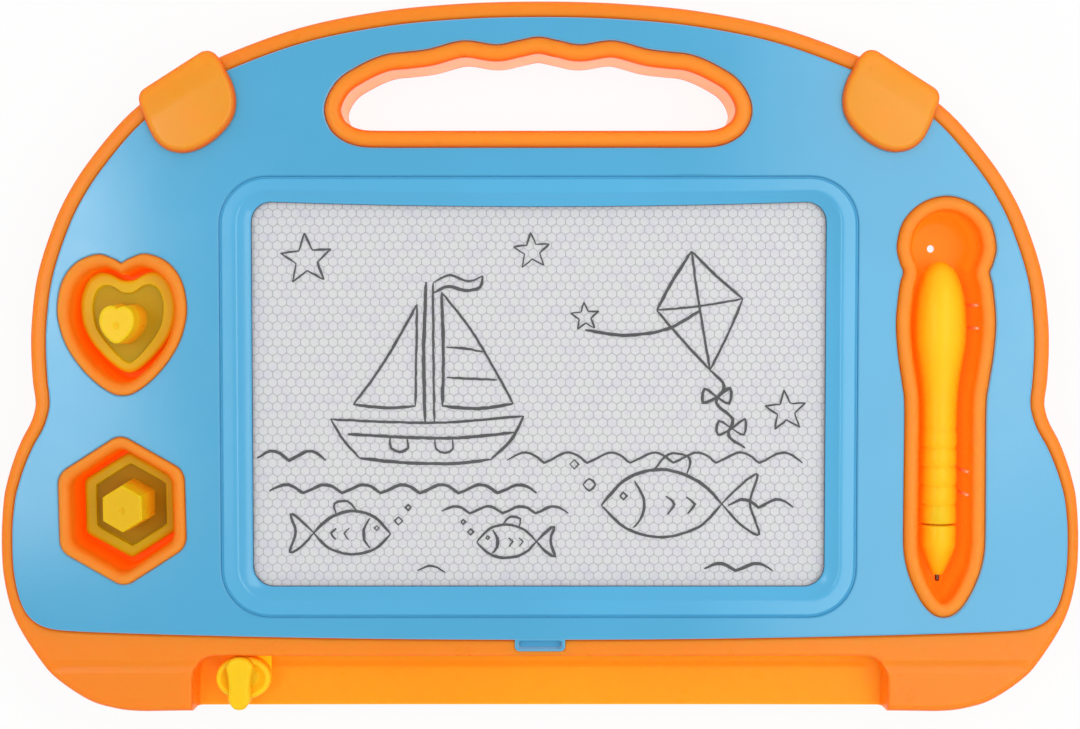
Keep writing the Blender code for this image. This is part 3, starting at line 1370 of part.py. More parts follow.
def make_corner_clip(side, x, y, turn, finish):
    """Makes one orange corner clip: a rounded tab over the plate's edge, on a hollow post for its screw."""
    outline = mirrored_outline(CLIP_SHARES, CLIP_HALF_WIDTH, CLIP_HALF_HEIGHT)
    low = PLATE_TOP + SEAT_GAP
    high = low + CLIP_THICKNESS
    clip = loft(
        f"corner_clip_{side}",
        [
            (outline, low),
            (outline, high - CLIP_EDGE_ROUND),
            (inset_fit(outline, CLIP_EDGE_ROUND), high),
            (inset_fit(outline, CLIP_HALF_HEIGHT / 2), high + CLIP_CROWN),
        ],
        finish,
    )
    post_y = -CLIP_POST_INSET
    post_top = low + CLIP_THICKNESS / 2
    post = rod(f"clip_post_{side}", 0, post_y, CLIP_POST_RADIUS, BODY_BOTTOM, post_top)
    bore_top = SCREW_SEAT + CLIP_SCREW_LENGTH + SEAT_GAP
    bore = rod(f"clip_bore_{side}", 0, post_y, HOLE_RADIUS, COVER_FLOOR, bore_top, sides=BORE_SIDES)
    combine(clip, [post], "UNION")
    combine(clip, [bore], "DIFFERENCE")
    for piece in (clip, post, bore):
        piece.location = (x, y, 0)
        piece.rotation_euler = (0, 0, turn)
    return clip


def main():
    """Makes every piece of the board."""
    blue = blue_plastic()
    orange = orange_plastic()
    yellow = yellow_plastic()
    metal = steel()
    dark = magnet_black()
    make_back_cover(orange)
    make_main_body(orange)
    make_front_plate(blue)
    make_handle_grip(orange)
    make_pen_tray(orange)
    make_pocket("heart_pocket", heart_pocket_outline(), HEART_POCKET_X, HEART_POCKET_Y, orange)
    make_pocket("hexagon_pocket", hexagon_pocket_outline(), HEXAGON_POCKET_X, HEXAGON_POCKET_Y, orange)
    for side, x, y, turn in clip_places():
        make_corner_clip(side, x, y, turn, orange)
    make_bezel(blue)
    make_panel_sheet("screen_front_film", FRONT_FILM_BOTTOM, FRONT_FILM_TOP, clear_film())
    make_panel_sheet("honeycomb_panel", HONEYCOMB_BOTTOM, HONEYCOMB_TOP, pale_honeycomb())
    make_panel_sheet("screen_back_film", BACK_FILM_BOTTOM, BACK_FILM_TOP, white_film())
    make_rail("screen_rail_top", 1, orange)
    make_rail("screen_rail_bottom", -1, orange)
    make_cover_screws(metal)
    make_rail_screws(metal)
    carriage = eraser_carriage()
    make_eraser_bar(yellow, carriage)
    make_magnet_strip(dark, carriage)
    make_slider_knob(yellow, carriage)
    make_knob_screw(metal, carriage)
    make_pen(yellow, dark_metal())
    heart_foot = heart_pocket_outline()
    heart_knob = heart(HEART_KNOB_HALF_WIDTH, HEART_KNOB_HALF_HEIGHT)
    make_stamp("heart", heart_foot, heart_knob, HEART_POCKET_X, HEART_POCKET_Y, yellow, dark)
    hexagon_foot = hexagon_pocket_outline()
    hexagon_knob = rounded_hexagon(HEXAGON_KNOB_HALF_WIDTH, HEXAGON_KNOB_HALF_HEIGHT, STAMP_KNOB_EDGE)
    make_stamp("hexagon", hexagon_foot, hexagon_knob, HEXAGON_POCKET_X, HEXAGON_POCKET_Y, yellow, dark)


main()
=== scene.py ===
"""Looks of the magnetic drawing board: fine surfaces, finishes, the drawn picture, the light and the camera.

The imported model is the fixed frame. Lengths are in metres, X runs along the board's width, Y up the picture and Z
out of the screen.
"""

from __future__ import annotations

import json
import logging
import math
import random
from collections.abc import Callable, Iterator
from contextlib import contextmanager
from dataclasses import dataclass, replace
from enum import Enum

import bmesh
import bpy
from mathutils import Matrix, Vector

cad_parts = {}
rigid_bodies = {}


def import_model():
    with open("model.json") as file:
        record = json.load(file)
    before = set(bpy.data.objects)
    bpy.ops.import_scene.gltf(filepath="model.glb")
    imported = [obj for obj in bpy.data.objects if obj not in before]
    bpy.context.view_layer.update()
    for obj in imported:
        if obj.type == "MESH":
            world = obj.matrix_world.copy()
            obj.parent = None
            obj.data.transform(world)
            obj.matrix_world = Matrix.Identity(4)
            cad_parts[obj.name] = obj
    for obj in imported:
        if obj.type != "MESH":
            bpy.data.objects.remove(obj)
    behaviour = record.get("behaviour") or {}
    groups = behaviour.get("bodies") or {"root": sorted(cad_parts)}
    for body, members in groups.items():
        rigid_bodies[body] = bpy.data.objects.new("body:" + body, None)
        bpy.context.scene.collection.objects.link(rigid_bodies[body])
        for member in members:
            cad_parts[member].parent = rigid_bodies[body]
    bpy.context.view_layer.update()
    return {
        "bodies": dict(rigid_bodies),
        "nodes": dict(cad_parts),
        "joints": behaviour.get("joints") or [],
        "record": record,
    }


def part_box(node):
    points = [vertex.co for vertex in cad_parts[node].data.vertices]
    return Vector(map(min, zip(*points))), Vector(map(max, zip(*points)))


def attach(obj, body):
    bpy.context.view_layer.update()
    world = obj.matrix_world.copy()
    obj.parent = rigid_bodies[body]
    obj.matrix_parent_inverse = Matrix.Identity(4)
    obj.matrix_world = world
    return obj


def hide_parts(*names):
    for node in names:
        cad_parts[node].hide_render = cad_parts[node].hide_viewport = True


LOG = logging.getLogger("drawing_board")

Piece = bpy.types.Object
Socket = bpy.types.NodeSocket
Pair = tuple[float, float]
Shares = tuple[Pair, ...]
Stroke = list[Pair]
Place = tuple[float, float, float]
Colour = tuple[float, float, float]
Outline = list[Vector]
Rings = list[tuple[Outline, float]]
Inset = Callable[[Outline, float], Outline]

SHARP_ANGLE = math.radians(38)
UPRIGHT_NORMAL = 0.2
FLAT_NORMAL = 0.99999
MERGE = 0.000002
OVERRUN = 0.004
CORNER_STEPS = 12
SIDE_STEPS = 10

BOARD_SHARES: Shares = (
    (0.0, 1.0), (0.148, 0.994), (0.297, 0.972), (0.446, 0.926), (0.585, 0.850), (0.680, 0.777), (0.762, 0.685),
    (0.836, 0.554), (0.883, 0.441), (0.914, 0.328), (0.935, 0.216), (0.944, 0.103), (0.9455, 0.02),
    (0.9425, -0.067), (0.9375, -0.122), (0.9385, -0.15), (0.946, -0.187), (0.963, -0.236), (0.978, -0.293),
    (0.989, -0.349), (0.9965, -0.408), (1.0, -0.518), (0.995, -0.631), (0.974, -0.744), (0.928, -0.857),
    (0.894, -0.913), (0.839, -0.968), (0.795, -0.990), (0.745, -1.0), (0.645, -0.999), (0.3, -0.998), (0.0, -0.998),
)
HANDLE_SHARES: Shares = (
    (0.0, 1.0), (0.10, 0.93), (0.197, 0.861), (0.3505, 0.933), (0.509, 0.782), (0.613, 0.729), (0.700, 0.693),
    (0.778, 0.594), (0.856, 0.441), (0.917, 0.289), (0.9605, 0.103), (0.990, -0.118), (1.0, -0.32),
    (0.990, -0.525), (0.9605, -0.728), (0.913, -0.872), (0.861, -0.955), (0.80, -0.993), (0.70, -1.0), (0.50, -1.0),
    (0.0, -1.0),
)
TRAY_SHARES: Shares = (
    (0.0, 1.0), (0.498, 0.967), (0.863, 0.881), (0.997, 0.763), (0.93, 0.68), (0.866, 0.636), (0.934, 0.569),
    (1.0, 0.403), (0.955, 0.247), (0.868, 0.11), (0.818, 0.0), (0.818, -0.34), (0.82, -0.62), (0.80, -0.70),
    (0.745, -0.766), (0.66, -0.826), (0.545, -0.886), (0.39, -0.945), (0.20, -0.987), (0.0, -1.0),
)
HEART_SHARES: Shares = (
    (0.0, 0.87), (0.15, 0.945), (0.38, 1.0), (0.70, 0.885), (0.92, 0.62), (1.0, 0.24), (0.945, -0.09),
    (0.81, -0.38), (0.59, -0.655), (0.36, -0.855), (0.15, -0.975), (0.0, -1.0),
)
HEART_FOOT_SHARES: Shares = (
    (0.0, 0.83), (0.16, 0.86), (0.36, 0.97), (0.60, 1.0), (0.82, 0.87), (0.96, 0.6), (1.0, 0.3), (0.94, -0.06),
    (0.78, -0.37), (0.56, -0.63), (0.34, -0.83), (0.14, -0.965), (0.0, -1.0),
)
HEART_DISH_SHARES: Shares = (
    (0.0, 0.79), (0.18, 0.82), (0.40, 0.95), (0.62, 1.0), (0.84, 0.9), (0.97, 0.66), (1.0, 0.35), (0.93, -0.03),
    (0.76, -0.32), (0.52, -0.60), (0.28, -0.84), (0.09, -0.97), (0.0, -1.0),
)
CLIP_POINTS: Shares = (
    (-12.5, 3.5), (-11.7, 4.55), (-9.5, 6.0), (-4.0, 9.55), (1.7, 13.2), (2.9, 13.75), (4.1, 13.85), (5.5, 13.3),
    (7.1, 11.6), (8.5, 8.95), (9.8, 6.4), (10.7, 3.3), (10.8, 0.6), (10.25, -2.0), (8.5, -4.9), (5.3, -8.0),
    (1.7, -10.1), (-2.0, -10.95), (-5.8, -10.2), (-8.6, -8.0), (-10.4, -4.8), (-11.65, -1.7), (-12.5, 0.8),
    (-12.75, 2.3),
)
RIB_SHARES: Shares = (
    (0.0, 1.0), (0.60, 0.93), (1.0, 0.66), (0.88, 0.30), (0.80, -0.10), (0.84, -0.45), (0.80, -0.66),
    (0.45, -0.93), (0.0, -1.0),
)
SURROUND_SLOPE: Shares = (
    (0.0, 0.0), (0.012, 0.05), (0.04, 0.11), (0.10, 0.21), (0.17, 0.335), (0.24, 0.475), (0.30, 0.605),
    (0.345, 0.715), (0.38, 0.81), (0.41, 0.89), (0.44, 0.95), (0.475, 0.985), (0.52, 1.0), (0.62, 0.995),
    (0.76, 0.985), (0.90, 0.975),
)
BARREL_SHARES: Shares = (
    (0.0, 0.0), (0.004, 0.17), (0.012, 0.32), (0.025, 0.465), (0.045, 0.61), (0.07, 0.73), (0.10, 0.83),
    (0.14, 0.92), (0.19, 0.975), (0.25, 1.0), (0.30, 0.995), (0.34, 0.955), (0.38, 0.885), (0.43, 0.80),
    (0.48, 0.735), (0.53, 0.695), (0.58, 0.68), (0.62, 0.683),
)
BOAT_LINES: list[Stroke] = [
    [(-24, -9), (-12, -9.6), (4, -9.8), (23, -8.2)],
    [(-24, -9), (-21, -14), (-17, -18.5)],
    [(23, -8.2), (20, -14), (15, -18.8)],
    [(-17, -18.5), (-6, -19.6), (6, -19.8), (15, -18.8)],
    [(-20, -12.6), (-6, -13.4), (8, -13.5), (20.6, -12.2)],
    [(-1, -9.6), (-1.4, 6), (-0.8, 24.5)],
    [(1.2, -9.6), (1.0, 6), (0.9, 24.3)],
    [(3, 22), (10, 13), (16, 3), (20.5, -5.2)],
    [(3, 22), (3.4, 8), (3.2, -5.8)],
    [(3.2, -5.8), (12, -6.4), (20.5, -5.2)],
    [(4.2, 8.6), (9, 8.2), (13.2, 7.4)],
    [(4.2, 1.2), (10, 0.9), (16.6, 0.6)],
    [(-3, 19), (-8, 10), (-13, 2), (-18.5, -5.4)],
    [(-3, 19), (-3.2, 7), (-3.4, -5.8)],
    [(-3.4, -5.8), (-11, -6.2), (-18.5, -5.4)],
    [(1, 24.4), (5, 26.2), (9.5, 24.6), (13, 26)],
    [(13, 26), (12.4, 23.2), (8.6, 22.4), (4.6, 23.4), (1, 21.8)],
    [(-9.6, -13.6), (-9.4, -16), (-7.2, -17), (-5.2, -16), (-5.4, -13.8)],
    [(1.4, -13.8), (1.6, -16.2), (3.8, -17.2), (5.8, -16.2), (5.6, -13.9)],
]
KITE_LINES: list[Stroke] = [
    [(-1, 15), (5, 9), (11.5, 3.4)],
    [(11.5, 3.4), (8, -5), (3.5, -14)],
    [(3.5, -14), (-3, -7), (-9.5, 0.6)],
    [(-9.5, 0.6), (-5.5, 8), (-1, 15)],
    [(-1, 15), (0.8, 2), (3.5, -14)],
    [(-9.5, 0.6), (1, 1.6), (11.5, 3.4)],
    [(3.5, -14), (7, -18), (5, -22), (9, -26), (8, -30), (12, -33)],
    [(5.2, -20.6), (2.2, -18.6), (1.8, -22), (5.2, -20.6), (8.4, -18.4), (8.2, -22.2), (5.2, -20.6)],
    [(8.8, -28.2), (5.6, -26.4), (5.4, -29.8), (8.8, -28.2), (12, -26), (11.8, -29.8), (8.8, -28.2)],
    [(1.2, 0.6), (-7, -4), (-17, -5.5), (-27, -4.2)],
]
FISH_LINES: list[Stroke] = [
    [(-12, 0), (-7, 5.2), (0, 7), (7, 4.6), (11.5, 0.3)],
    [(-12, 0), (-7, -4.6), (0, -6.2), (7, -4.2), (11.5, 0.3)],
    [(11.5, 0.3), (15.5, 4.2), (18.5, 6), (17, 0.4), (18.8, -5.6), (15.2, -3.8), (11.5, 0.3)],
    [(-5.6, 4.8), (-3.8, 1.4), (-4, -2), (-5.8, -4.4)],
    [(-2, 6.6), (1.2, 10), (5.2, 9.2), (4.6, 5.8)],
    [(0.6, 1.8), (2.2, 0.2), (0.8, -1.8)],
    [(4.6, 1.6), (6.2, 0.2), (4.8, -1.6)],
    [(-8.4, 1.8), (-7.7, 2.5), (-7.0, 1.8), (-7.7, 1.1), (-8.4, 1.8)],
    [(-15.6, 4), (-14.4, 5.2), (-13.2, 4), (-14.4, 2.8), (-15.6, 4)],
    [(-18.2, 8), (-17.3, 8.9), (-16.4, 8), (-17.3, 7.1), (-18.2, 8)],
]
WAVE_ROWS: tuple[tuple[float, ...], ...] = (
    (-69.0, -45.5, -15.5, 1.7, 9.0),
    (-8.0, 69.0, -16.0, 1.8, 10.5),
    (-66.0, 8.0, -23.5, 1.5, 9.5),
    (46.0, 68.5, -27.0, 1.4, 8.5),
    (-24.0, 12.0, -28.5, 1.2, 8.0),
    (-30.0, -16.0, -43.0, 1.2, 8.0),
    (40.0, 66.0, -42.5, 1.3, 9.0),
)
INNER_FINISHES = {
    "screen_front_film": "clear_film",
    "screen_back_film": "back_film",
    "screen_rail_top": "orange_moulding",
    "screen_rail_bottom": "orange_moulding",
    "eraser_magnet_strip": "bonded_magnet",
}


class Closing(Enum):
    """How the ends of a run of rings are closed."""

    CAPPED = "capped"
    LOOPED = "looped"


class Cut(Enum):
    """What a Boolean does with the other shape."""

    ADD = "UNION"
    REMOVE = "DIFFERENCE"


# Outlines


def around(turn: float) -> Vector:
    """Gives the direction at an angle."""
    return Vector((math.cos(turn), math.sin(turn)))


def about(middle: float, half: float) -> Pair:
    """Gives the two ends of a span from its middle."""
    return middle - half, middle + half


def stretch(a: Vector, b: Vector, c: Vector, d: Vector, steps: int) -> Outline:
    """Runs a smooth curve from one point to just before the next.

    Args:
        a: The point before the first one.
        b: The first point.
        c: The next point.
        d: The point after the next one.
        steps: The number of points wanted.

    Returns:
        The curve's points, from the first one on.
    """
    points = []
    for step in range(steps):
        t = step / steps
        bend = (2 * a - 5 * b + 4 * c - d) * t**2
        twist = (3 * b - a - 3 * c + d) * t**3
        points.append((2 * b + (c - a) * t + bend + twist) / 2)
    return points


def smooth(run: Outline, steps: int) -> Outline:
    """Runs a smooth curve through a run of points, but for the first and the last, which only steer it.

    Args:
        run: The points in order.
        steps: Points on each stretch between two of them.

    Returns:
        The curve's points, without its very end.
    """
    return [point for corners in zip(run, run[1:], run[2:], run[3:]) for point in stretch(*corners, steps)]


def flipped(points: Outline) -> Outline:
    """Gives the mirror image of some points, in the opposite order."""
    return [Vector((-p.x, p.y)) for p in reversed(points)]


def mirrored(shares: Shares, half_width: float, half_height: float, steps: int, corner_top: bool = False) -> Outline:
    """Closes a smooth half outline with its mirror image, at its real size about zero.

    Args:
        shares: Points of the right-hand half from the top centre down, as shares of the half sides.
        half_width: Half the width.
        half_height: Half the height.
        steps: Points on each stretch between two shares.
        corner_top: Whether the outline has a corner at its top centre.

    Returns:
        The closed outline.
    """
    half = [Vector(point) for point in shares]
    before = half[0] * 2 - half[1] if corner_top else Vector((-half[1].x, half[1].y))
    right = [*smooth([before, *half, Vector((-half[-2].x, half[-2].y))], steps), half[-1]]
    points = right + flipped(right[1:-1])
    low_y, high_y = min(p.y for p in points), max(p.y for p in points)
    reach = max(p.x for p in points)
    middle = (low_y + high_y) / 2
    grow_y = 2 * half_height / (high_y - low_y)
    return [Vector((p.x * half_width / reach, (p.y - middle) * grow_y)) for p in points]


def grown(points: Outline, distance: float) -> Outline:
    """Moves a closed outline outwards along its normals.

    Args:
        points: The outline.
        distance: The distance outwards, or below zero for one inwards.

    Returns:
        The outline, with the same number of points.
    """
    following = [*points[1:], points[0]]
    side = distance if sum(a.cross(b) for a, b in zip(points, following)) > 0 else -distance
    result = []
    for i, point in enumerate(points):
        along = (following[i] - points[i - 1]).normalized()
        result.append(point + Vector((along.y, -along.x)) * side)
    return result


def inward(points: Outline, inset: float) -> Outline:
    """Moves a closed outline inwards along its normals."""
    return grown(points, -inset)


def pulled(points: Outline, inset: float) -> Outline:
    """Moves each point of an outline towards zero by an inset."""
    return [p - p.normalized() * inset for p in points]


def shrunk(points: Outline, inset: float) -> Outline:
    """Shrinks an outline about zero until each side of its box is in by the inset.

    Args:
        points: The outline.
        inset: The inset, or below zero to make the outline larger.

    Returns:
        The outline, with the same number of points.
    """
    reach_x = max(p.x for p in points)
    reach_y = max(p.y for p in points)
    return [Vector((p.x * (1 - inset / reach_x), p.y * (1 - inset / reach_y))) for p in points]


def drawn_in(points: Outline, inset: float) -> Outline:
    """Moves a mirrored outline inwards, and draws an end that gets too narrow to a point.

    Args:
        points: The outline about zero, with its mirror line on the Y axis.
        inset: The distance inwards.

    Returns:
        The outline, with the same number of points.
    """
    result = inward(points, inset)
    low_y = min(p.y for p, old in zip(result, points) if p.x * old.x > 0 or abs(old.x) < MERGE)
    for i, old in enumerate(points):
        crossed = abs(old.x) > MERGE and result[i].x * old.x <= 0
        if crossed or (old.y < 0 and result[i].y < low_y):
            result[i] = Vector((0.0, low_y))
    for i in range(1, len(points) // 2):
        if result[i].y > result[i - 1].y:
            result[i] = result[i - 1].copy()
        result[-i] = Vector((-result[i].x, result[i].y))
    return result


def moved(points: Outline, x: float, y: float) -> Outline:
    """Moves an outline."""
    return [p + Vector((x, y)) for p in points]


def turned(points: Outline, degrees: float) -> Outline:
    """Turns an outline about zero."""
    cos, sin = math.cos(math.radians(degrees)), math.sin(math.radians(degrees))
    return [Vector((p.x * cos - p.y * sin, p.x * sin + p.y * cos)) for p in points]


def resampled(points: Outline, count: int) -> Outline:
    """Spreads a number of points evenly round a closed outline, from its first point on.

    Args:
        points: The closed outline.
        count: The number of points wanted.

    Returns:
        The outline with that many points.
    """
    sides = [(a, b, (b - a).length) for a, b in zip(points, [*points[1:], points[0]])]
    total = sum(length for _, _, length in sides)
    result = []
    reached = 0.0
    index = 0
    for i in range(count):
        target = total * i / count
        while reached + sides[index][2] < target:
            reached += sides[index][2]
            index += 1
        a, b, length = sides[index]
        result.append(a.lerp(b, (target - reached) / length))
    return result


def rounded_box(half_width: float, half_height: float, corner: float, bow: float = 0.0) -> Outline:
    """Gives a rectangle with round corners, its top side drawn in a little at its middle.

    Args:
        half_width: Half the width.
        half_height: Half the height.
        corner: The corner radius.
        bow: How far the top side comes in at its middle.

    Returns:
        The outline about zero, with the same number of points for any size.
    """
    arcs = []
    for quarter, (x, y) in enumerate(((1, 1), (-1, 1), (-1, -1), (1, -1))):
        centre = Vector(((half_width - corner) * x, (half_height - corner) * y))
        turns = [math.pi / 2 * (quarter + step / CORNER_STEPS) for step in range(CORNER_STEPS + 1)]
        arcs.append([centre + around(turn) * corner for turn in turns])
    points = []
    for arc, following in zip(arcs, [*arcs[1:], arcs[0]]):
        points += arc + [arc[-1].lerp(following[0], step / SIDE_STEPS) for step in range(1, SIDE_STEPS)]
    for point in points:
        if point.y > 0:
            point.y *= 1 - bow / half_height * (1 - (point.x / half_width) ** 2)
    return points


def rounded_hexagon(half_width: float, half_height: float, corner: float, steps: int = 8) -> Outline:
    """Gives a hexagon that stands on a corner, with round corners.

    Args:
        half_width: Half the width.
        half_height: Half the height.
        corner: The corner radius.
        steps: The number of facets in each corner.

    Returns:
        The outline about zero.
    """
    points = []
    for side in range(6):
        middle = math.pi / 6 + math.pi / 3 * side
        centre = around(middle) * ((half_width - corner) / math.cos(math.pi / 6))
        turns = [middle + math.pi / 3 * (step / steps - 0.5) for step in range(steps + 1)]
        points += [centre + around(turn) * corner for turn in turns]
    reach = max(p.y for p in points)
    return [Vector((p.x, p.y * half_height / reach)) for p in points]


def oval(half_width: float, half_height: float, count: int) -> Outline:
    """Gives an ellipse about zero."""
    turns = [2 * math.pi * i / count for i in range(count)]
    return [Vector((math.cos(turn) * half_width, math.sin(turn) * half_height)) for turn in turns]


def round_edge(
    outline: Outline, radius: float, top: float, steps: int = 6, outer: bool = True, inset: Inset = inward
) -> Rings:
    """Gives the rings of a rounded top edge.

    Args:
        outline: The edge's outline where it is upright.
        radius: The radius of the rounding.
        top: The height that the rounding ends at.
        steps: The number of facets in the rounding.
        outer: True for an outer edge, which moves inwards as it rises, and False for the edge of a hole.
        inset: The way in which the outline moves inwards.

    Returns:
        The rings from the upright side to the flat top.
    """
    reach = radius if outer else -radius
    turns = [math.pi / 2 * step / steps for step in range(steps + 1)]
    return [(inset(outline, reach * (1 - math.cos(turn))), top - radius * (1 - math.sin(turn))) for turn in turns]


# Modelling


# The finishes that this script makes, under their own names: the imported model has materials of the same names.
MADE: dict[str, bpy.types.Material] = {}


def new_material(name: str) -> bpy.types.Material:
    """Makes an empty material and keeps it under its name."""
    MADE[name] = bpy.data.materials.new(name)
    return MADE[name]


def deselect_all() -> None:
    """Leaves no object selected, so that an operator acts on the new piece alone."""
    bpy.ops.object.select_all(action="DESELECT")


def activate(piece: Piece) -> None:
    """Makes one piece the only selected and the active one.

    Args:
        piece: The piece.
    """
    deselect_all()
    piece.select_set(True)
    bpy.context.view_layer.objects.active = piece


def named(piece: Piece, name: str) -> Piece:
    """Names a piece and its mesh.

    Args:
        piece: The piece.
        name: The new name.

    Returns:
        The same piece.
    """
    piece.name = name
    piece.data.name = name
    return piece


def linked(name: str, data: bpy.types.ID) -> Piece:
    """Puts a new object with some data into the scene.

    Args:
        name: The object's name.
        data: Its mesh, curve or lamp.

    Returns:
        The object.
    """
    piece = bpy.data.objects.new(name, data)
    bpy.context.scene.collection.objects.link(piece)
    return piece


def settle() -> None:
    """Writes the place, turn and scale of the active piece into its mesh."""
    bpy.ops.object.transform_apply(location=True, rotation=True, scale=True)


def fresh(name: str, add: Callable[..., object], **settings: object) -> Piece:
    """Adds a basic mesh.

    Args:
        name: The piece's name.
        add: The operator that adds it.
        settings: The operator's settings.

    Returns:
        The piece, active, with its place written into its mesh.
    """
    deselect_all()
    add(**settings)
    settle()
    return named(bpy.context.object, name)


@contextmanager
def editing(piece: Piece) -> Iterator[bmesh.types.BMesh]:
    """Opens a piece in edit mode for the length of a block.

    Args:
        piece: The piece.

    Yields:
        Its editable mesh, which is written back at the end.
    """
    activate(piece)
    bpy.ops.object.mode_set(mode="EDIT")
    yield bmesh.from_edit_mesh(piece.data)
    bmesh.update_edit_mesh(piece.data)
    bpy.ops.object.mode_set(mode="OBJECT")


def close_up(merge: bool = True) -> None:
    """Turns the faces of the mesh in edit mode outwards, after merging its doubled points.

    Args:
        merge: Whether doubled points are merged.
    """
    bpy.ops.mesh.select_all(action="SELECT")
    if merge:
        bpy.ops.mesh.remove_doubles(threshold=MERGE)
    bpy.ops.mesh.normals_make_consistent(inside=False)


def ring_shape(name: str, rings: Rings, closing: Closing = Closing.CAPPED, at: Pair = (0, 0)) -> Piece:
    """Extrudes a circle from ring to ring, and closes its ends.

    Args:
        name: The piece's name.
        rings: Outlines of equal count, each with its height.
        closing: Whether the ends get a face each or are joined to each other.
        at: The place on the board that the outlines' zero is moved to.

    Returns:
        The piece, with its faces pointing outwards.
    """
    capped = closing is Closing.CAPPED
    run = rings if capped else [*rings, rings[0]]
    piece = fresh(name, bpy.ops.mesh.primitive_circle_add, vertices=len(rings[0][0]), radius=0.01)
    with editing(piece) as shape:
        bpy.ops.mesh.select_all(action="SELECT")
        order = shape.verts.layers.int.new("order")
        shape.verts.layers.int.new("level")
        for i, vertex in enumerate(shape.verts):
            vertex[order] = i
        for number, (outline, height) in enumerate(run):
            if number:
                bpy.ops.mesh.extrude_edges_indiv()
            shape = bmesh.from_edit_mesh(piece.data)
            order, level = (shape.verts.layers.int[key] for key in ("order", "level"))
            points = moved(outline, *at)
            for vertex in shape.verts:
                if vertex.select:
                    vertex.co = (*points[vertex[order]], height)
                    vertex[level] = number
            bmesh.update_edit_mesh(piece.data)
        for wanted in (len(run) - 1, 0) if capped else ():
            shape = bmesh.from_edit_mesh(piece.data)
            level = shape.verts.layers.int["level"]
            for vertex in shape.verts:
                vertex.select = vertex[level] == wanted
            shape.select_flush_mode()
            bmesh.update_edit_mesh(piece.data)
            bpy.ops.mesh.edge_face_add()
        close_up(merge=not capped)
    return piece


def box_shape(name: str, *spans: Pair) -> Piece:
    """Makes a box from its lowest and highest side along X, Y and Z.

    Args:
        name: The piece's name.
        spans: Its lowest and highest side along each axis.

    Returns:
        The box.
    """
    centre = [(low + high) / 2 for low, high in spans]
    size = [high - low for low, high in spans]
    return fresh(name, bpy.ops.mesh.primitive_cube_add, size=1, location=centre, scale=size)


def rod_shape(name: str, at: Pair, radius: float, low: float, high: float, sides: int = 32) -> Piece:
    """Makes an upright cylinder.

    Args:
        name: The piece's name.
        at: Its place on the board.
        radius: Its radius.
        low: The height of its lower end.
        high: The height of its upper end.
        sides: The number of its sides.

    Returns:
        The piece.
    """
    add = bpy.ops.mesh.primitive_cylinder_add
    return fresh(name, add, vertices=sides, radius=radius, depth=high - low, location=(*at, (low + high) / 2))


def combine(target: Piece, others: list[Piece], how: Cut) -> None:
    """Joins other shapes to a piece, or cuts them from it, and removes them.

    Args:
        target: The piece that is changed.
        others: The shapes that are used up.
        how: Whether they are added or removed.
    """
    for other in others:
        activate(target)
        step = target.modifiers.new(other.name, "BOOLEAN")
        step.operation = how.value
        step.object = other
        step.solver = "EXACT"
        bpy.ops.object.modifier_apply(modifier=step.name)
        bpy.data.objects.remove(other, do_unlink=True)
    with editing(target):
        bpy.ops.mesh.select_all(action="SELECT")
        bpy.ops.mesh.dissolve_degenerate(threshold=MERGE)


def spun(name: str, profile: list[Pair], sides: int) -> Piece:
    """Spins a profile of radius and height round the upright axis.

    Args:
        name: The piece's name.
        profile: Radius and height of each point, from the top of the axis to its bottom.
        sides: The number of sides round the axis.

    Returns:
        The closed piece.
    """
    piece = fresh(name, bpy.ops.mesh.primitive_plane_add, size=0.01)
    with editing(piece) as shape:
        bmesh.ops.delete(shape, geom=shape.verts, context="VERTS")
        line = [shape.verts.new((radius, 0, height)) for radius, height in profile]
        for ends in zip(line, line[1:]):
            shape.edges.new(ends)
        bmesh.update_edit_mesh(piece.data)
        bpy.ops.mesh.select_all(action="SELECT")
        bpy.ops.mesh.spin(steps=sides, angle=2 * math.pi, center=(0, 0, 0), axis=(0, 0, 1))
        close_up()
    return piece


def add_line(curve: bpy.types.Curve, points: list[Place], closed: bool) -> None:
    """Adds a line of straight pieces to a curve.

    Args:
        curve: The curve.
        points: The place on the board and the thickness of each point.
        closed: Whether the line's ends are joined.
    """
    line = curve.splines.new("POLY")
    line.points.add(len(points) - 1)
    line.use_cyclic_u = closed
    for target, (x, y, radius) in zip(line.points, points):
        target.co = (x, y, 0, 1)
        target.radius = radius


def from_curve(curve: bpy.types.Curve, height: float, share: float = 1.0) -> Piece:
    """Turns a curve into a mesh.

    Args:
        curve: The curve, at the height of zero.
        height: The height that the mesh gets.
        share: The share of its thickness that it keeps.

    Returns:
        The piece, with the curve's name.
    """
    name = curve.name
    activate(linked(name, curve))
    bpy.ops.object.convert(target="MESH")
    piece = named(bpy.context.object, name)
    piece.scale.z = share
    piece.location.z = height
    settle()
    return piece


def crisp(piece: Piece) -> None:
    """Shades a piece smooth, with a crease at each real edge and round each flat face.

    Args:
        piece: The piece.
    """
    activate(piece)
    bpy.ops.object.shade_smooth()
    with editing(piece) as shape:
        bpy.ops.mesh.select_mode(type="EDGE")
        bpy.ops.mesh.select_all(action="DESELECT")
        for edge in shape.edges:
            if len(edge.link_faces) != 2:
                continue
            first, second = (face.normal for face in edge.link_faces)
            borders_flat = (abs(first.z) > FLAT_NORMAL) != (abs(second.z) > FLAT_NORMAL)
            edge.select = borders_flat or first.angle(second, 0) > SHARP_ANGLE
        bmesh.update_edit_mesh(piece.data)
        bpy.ops.mesh.mark_sharp()
        bpy.ops.mesh.select_mode(type="VERT")


